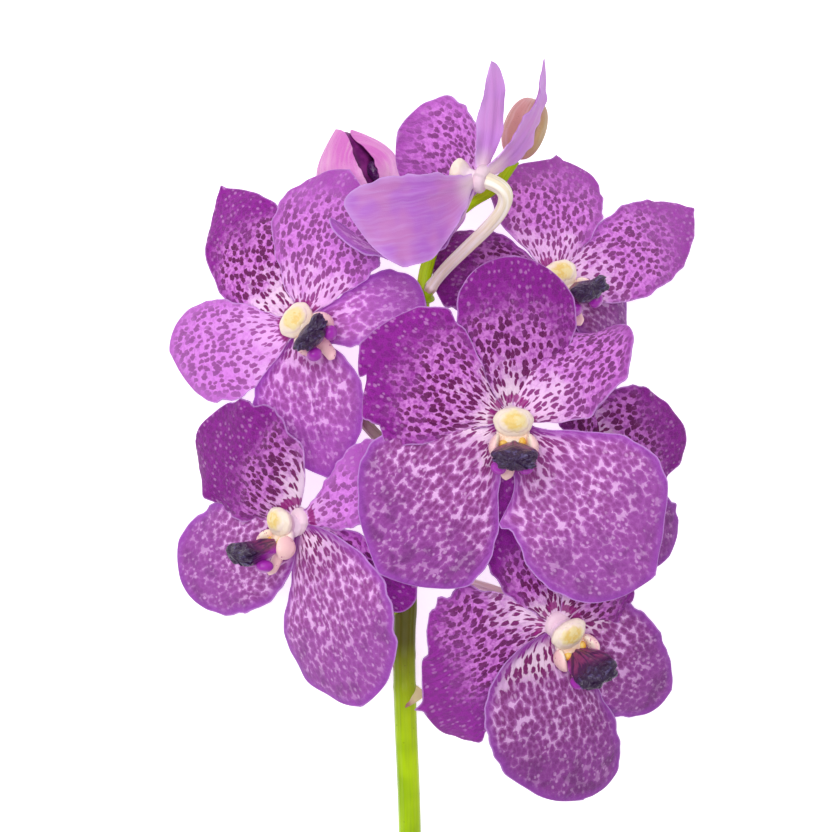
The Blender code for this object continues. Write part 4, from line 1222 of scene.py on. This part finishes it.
def make_stem(materials, care):
    """The stem: a tube with faint ridges, a stub with a ring for each flower stalk, and bracts.

    Its radius falls evenly above a height, and bell curves swell it at the stubs and bracts.
    """
    line = smooth_route(STEM_ROUTE, 20)
    side, rise = carried_frames(line)
    radius = np.interp(line[:, 1], [STEM_TAPER_START, STEM_ROUTE[-1][1]],
                       [STEM_RADIUS, STEM_TIP_RADIUS])
    for flower in ALL_FLOWERS.values():
        radius = radius * (1.0 + 0.06 * np.exp(-((line[:, 1] - flower["root"]) / 3.5) ** 2))
    for foot, _, _ in BRACTS:
        radius = radius * (1.0 + 0.05 * np.exp(-((line[:, 1] - foot[1] - 1.0) / 1.2) ** 2))
    ridge = care.ridge / MM / STEM_RADIUS
    made = loft(line, side, rise, radius, radius, 48, bumps=lambda t, turn:
                ridge * (np.cos(9 * turn) + 0.6 * np.cos(4 * turn + 3.0 * t)))
    made["slots"] = [0, 1, 0]
    # The tint carries the painted shade under the lowest blooms
    made["tint"] = np.interp(made["points"][:, 1], *STEM_SHADE)
    parts = [made]
    for flower in ALL_FLOWERS.values():
        root = stem_point(flower["root"])
        out = unit(flower["start"])
        t = np.linspace(0.0, 1.0, 14)
        stub_line = root + out * (t * STUB_REACH)[:, None]
        side, rise = carried_frames(stub_line)
        ring = 1.1 * np.exp(-((t - 0.55) / 0.2) ** 2) * (t < 0.55)
        stub_radius = STALK_RADIUS + (STUB_RADIUS - STALK_RADIUS) * (1 - t) + ring
        parts.append(loft(stub_line, side, rise, stub_radius, stub_radius, 24))
    for foot, tip, wide in BRACTS:
        parts.append(bract_part(np.array(foot), np.array(tip), wide))
    make_piece("stem_and_bracts", parts, materials, ["stem"])


def bract_part(foot, tip, wide):
    """A small pointed scale: a flattened cone, whose width falls as 1 - t^1.6."""
    t = np.linspace(0.0, 1.0, 20)
    line = foot + (tip - foot) * t[:, None]
    side, rise = carried_frames(line)
    radius = wide * (1.0 - t ** 1.6) * 0.9 + 0.15
    return loft(line, side, rise, radius, radius * 0.75, 24, 2,
                bumps=lambda t, turn: 0.12 * np.cos(3 * turn + 1.0))


def make_closed_bud(material):
    """The last bud: an egg with three furrows where its sepals meet."""
    middle, axis, long, wide = CLOSED_BUD
    axis = unit(axis)
    across = unit(np.cross(axis, (0.0, 0.0, 1.0)))
    t = np.linspace(0.0, 1.0, 40)
    line = np.array(middle) + axis * (-np.cos(pi * t) * long / 2.0)[:, None]
    radius = wide * np.sin(pi * (0.02 + 0.96 * t)) ** 0.8

    def furrows(t, turn):
        return 0.04 - 0.15 * np.exp(-(np.sin(1.5 * turn + 0.6) / 0.16) ** 2) * np.sin(pi * t) ** 0.5

    made = loft(line, np.cross(axis, across), -across, radius, radius, 60, bumps=furrows)
    shade = np.clip((made["points"][:, 0] - middle[0]) / wide * 0.8, 0.0, 1.0)
    made["tint"] = np.clip(shade * (1.2 - made["outer"]), 0.0, 0.9)
    make_piece("shut_bud", [made], [material], ["closed_bud"])


class ORCHID_OT_tepals(bpy.types.Operator):
    """Makes the petals and sepals of every open bloom"""

    bl_idname = "orchid.tepals"
    bl_label = "Tepals of the open blooms"

    def execute(self, context):
        care = context.scene.orchid_tepals
        materials = [petal_finish(care), sepal_finish(care), back_finish(care)]
        for label, flower in FLOWERS.items():
            make_perianth(label, flower, int(label), materials, care)
        return {"FINISHED"}


class ORCHID_OT_columns(bpy.types.Operator):
    """Makes every column with its anther cap, callus, side lobes and spur"""

    bl_idname = "orchid.columns"
    bl_label = "Columns"

    def execute(self, context):
        care = context.scene.orchid_columns
        materials = [column_finish(care),
                     plain_finish("callus", care.callus, care.anther, 400.0, 0.4),
                     lobe_finish(care),
                     plain_finish("lip_floor", care.peach, care.cream, 300.0, 0.45)]
        for label, flower in FLOWERS.items():
            make_column(label, flower, materials)
        return {"FINISHED"}


class ORCHID_OT_lips(bpy.types.Operator):
    """Makes the lips' dark tongues"""

    bl_idname = "orchid.lips"
    bl_label = "Lips"

    def execute(self, context):
        care = context.scene.orchid_lips
        material = lip_finish(care)
        for label, flower in FLOWERS.items():
            make_lip(label, flower, material, care)
        knob = ball(OPENING_BUD, *OPENING_LIP, bumps=lambda t, turn:
                    0.12 * np.cos(4 * turn) * np.sin(3 * pi * t))
        knob["outer"][:] = 0.7
        make_piece("tongue_opening", [knob], [material], ["lip_opening"])
        return {"FINISHED"}


class ORCHID_OT_stalks(bpy.types.Operator):
    """Makes the flower stalks"""

    bl_idname = "orchid.stalks"
    bl_label = "Flower stalks"

    def execute(self, context):
        care = context.scene.orchid_stalks
        material = stalk_finish(care)
        for label, flower in ALL_FLOWERS.items():
            make_stalk(label, flower, material, care, PAINTED_SHADE_STALKS.get(label, 0.0))
        return {"FINISHED"}


class ORCHID_OT_stem(bpy.types.Operator):
    """Makes the stem with its stubs and bracts"""

    bl_idname = "orchid.stem"
    bl_label = "Stem and bracts"

    def execute(self, context):
        care = context.scene.orchid_stem
        pith = plain_finish("cut_pith", care.pith, care.lime, 900.0, 0.6)
        make_stem([stem_finish(care), pith, bract_finish(care)], care)
        return {"FINISHED"}


class ORCHID_OT_buds(bpy.types.Operator):
    """Makes the closed bud and the tepals of the opening one"""

    bl_idname = "orchid.buds"
    bl_label = "Buds"

    def execute(self, context):
        care = context.scene.orchid_buds
        make_closed_bud(bud_finish("shut_bud_skin", care.beige, care.rose, care))
        outside = bud_finish("opening_bud_skin", care.pink, care.mauve, care)
        inside = plain_finish("opening_bud_inside", care.inside, care.inside_deep, 300.0, 0.5)
        core = ball(OPENING_BUD, (0.0, 0.0, 17.0), (6.6, 6.6, 14.6))
        make_perianth("opening", OPENING_BUD, 8, [inside, inside, outside],
                      context.scene.orchid_tepals, [core])
        return {"FINISHED"}


class ORCHID_OT_stage(bpy.types.Operator):
    """Makes the table, the lights and the camera"""

    bl_idname = "orchid.stage"
    bl_label = "Stage"

    def execute(self, context):
        care = context.scene.orchid_stage
        corners = [(x * TABLE_REACH, y * TABLE_REACH, 0.0)
                   for x, y in ((-1, -1), (1, -1), (1, 1), (-1, 1))]
        mesh = bpy.data.meshes.new("table_top")
        mesh.from_pydata(corners, [], [(0, 1, 2, 3)])
        table = bpy.data.objects.new("table_top", mesh)
        context.scene.collection.objects.link(table)
        finish = Finish("table_top")
        finish.set(Base_Color=(*care.floor, 1.0), Roughness=0.9, Specular_IOR_Level=0.1)
        finish.set(Emission_Color=(1.0, 1.0, 1.0, 1.0), Emission_Strength=care.floor_glow)
        mesh.materials.append(finish.material)

        lamp = bpy.data.lights.new("key", "AREA")
        lamp.shape = "DISK"
        lamp.size = LAMP_WIDTH
        lamp.energy = care.key_power
        key = bpy.data.objects.new("key", lamp)
        key.location = LAMP_PLACE
        key.rotation_euler = Vector(LAMP_AIM).to_track_quat("-Z", "Y").to_euler()
        context.scene.collection.objects.link(key)
        glow = bpy.data.lights.new("top_light", "SUN")
        glow.energy = care.top_light
        glow.angle = radians(TOP_LIGHT_SPREAD)
        above = bpy.data.objects.new("top_light", glow)
        above.location = (0.0, 0.0, 2.0)
        context.scene.collection.objects.link(above)

        world = bpy.data.worlds.new("even_light")
        world.use_nodes = True
        background = world.node_tree.nodes["Background"]
        background.inputs["Color"].default_value = (1.0, 1.0, 1.0, 1.0)
        background.inputs["Strength"].default_value = care.sky
        context.scene.world = world
        context.scene.view_settings.view_transform = "Standard"

        view = bpy.data.cameras.new("camera")
        view.lens = care.lens
        view.sensor_width = SENSOR_WIDTH
        view.clip_end = 20.0
        camera = bpy.data.objects.new("camera", view)
        camera.location = (-ORIGIN[0] * MM, -ORIGIN[1] * MM, care.camera_height)
        context.scene.collection.objects.link(camera)
        context.scene.camera = camera
        return {"FINISHED"}


class ORCHID_PT_panel(bpy.types.Panel):
    """Lists the spray's pieces"""

    bl_label = "Cut vanda orchid"
    bl_idname = "ORCHID_PT_panel"
    bl_space_type = "VIEW_3D"
    bl_region_type = "UI"
    bl_category = "Orchid"

    def draw(self, context):
        for operator in OPERATORS:
            self.layout.operator(operator.bl_idname)


SETTINGS = {
    "orchid_tepals": TepalSettings,
    "orchid_columns": ColumnSettings,
    "orchid_lips": LipSettings,
    "orchid_stalks": StalkSettings,
    "orchid_stem": StemSettings,
    "orchid_buds": BudSettings,
    "orchid_stage": StageSettings,
}
OPERATORS = (ORCHID_OT_tepals, ORCHID_OT_columns, ORCHID_OT_lips, ORCHID_OT_stalks, ORCHID_OT_stem,
             ORCHID_OT_buds, ORCHID_OT_stage)


def register():
    """Adds the settings to the scene, and the operators and the panel to Blender."""
    for name, group in SETTINGS.items():
        bpy.utils.register_class(group)
        setattr(bpy.types.Scene, name, PointerProperty(type=group))
    for item in (*OPERATORS, ORCHID_PT_panel):
        bpy.utils.register_class(item)


def unregister():
    """Takes them away again."""
    for item in (ORCHID_PT_panel, *OPERATORS):
        bpy.utils.unregister_class(item)
    for name, group in SETTINGS.items():
        delattr(bpy.types.Scene, name)
        bpy.utils.unregister_class(group)


def main():
    """Makes every piece and the stage."""
    register()
    bpy.ops.orchid.tepals()
    bpy.ops.orchid.columns()
    bpy.ops.orchid.lips()
    bpy.ops.orchid.stalks()
    bpy.ops.orchid.stem()
    bpy.ops.orchid.buds()
    bpy.ops.orchid.stage()


if __name__ == "__main__":
    main()
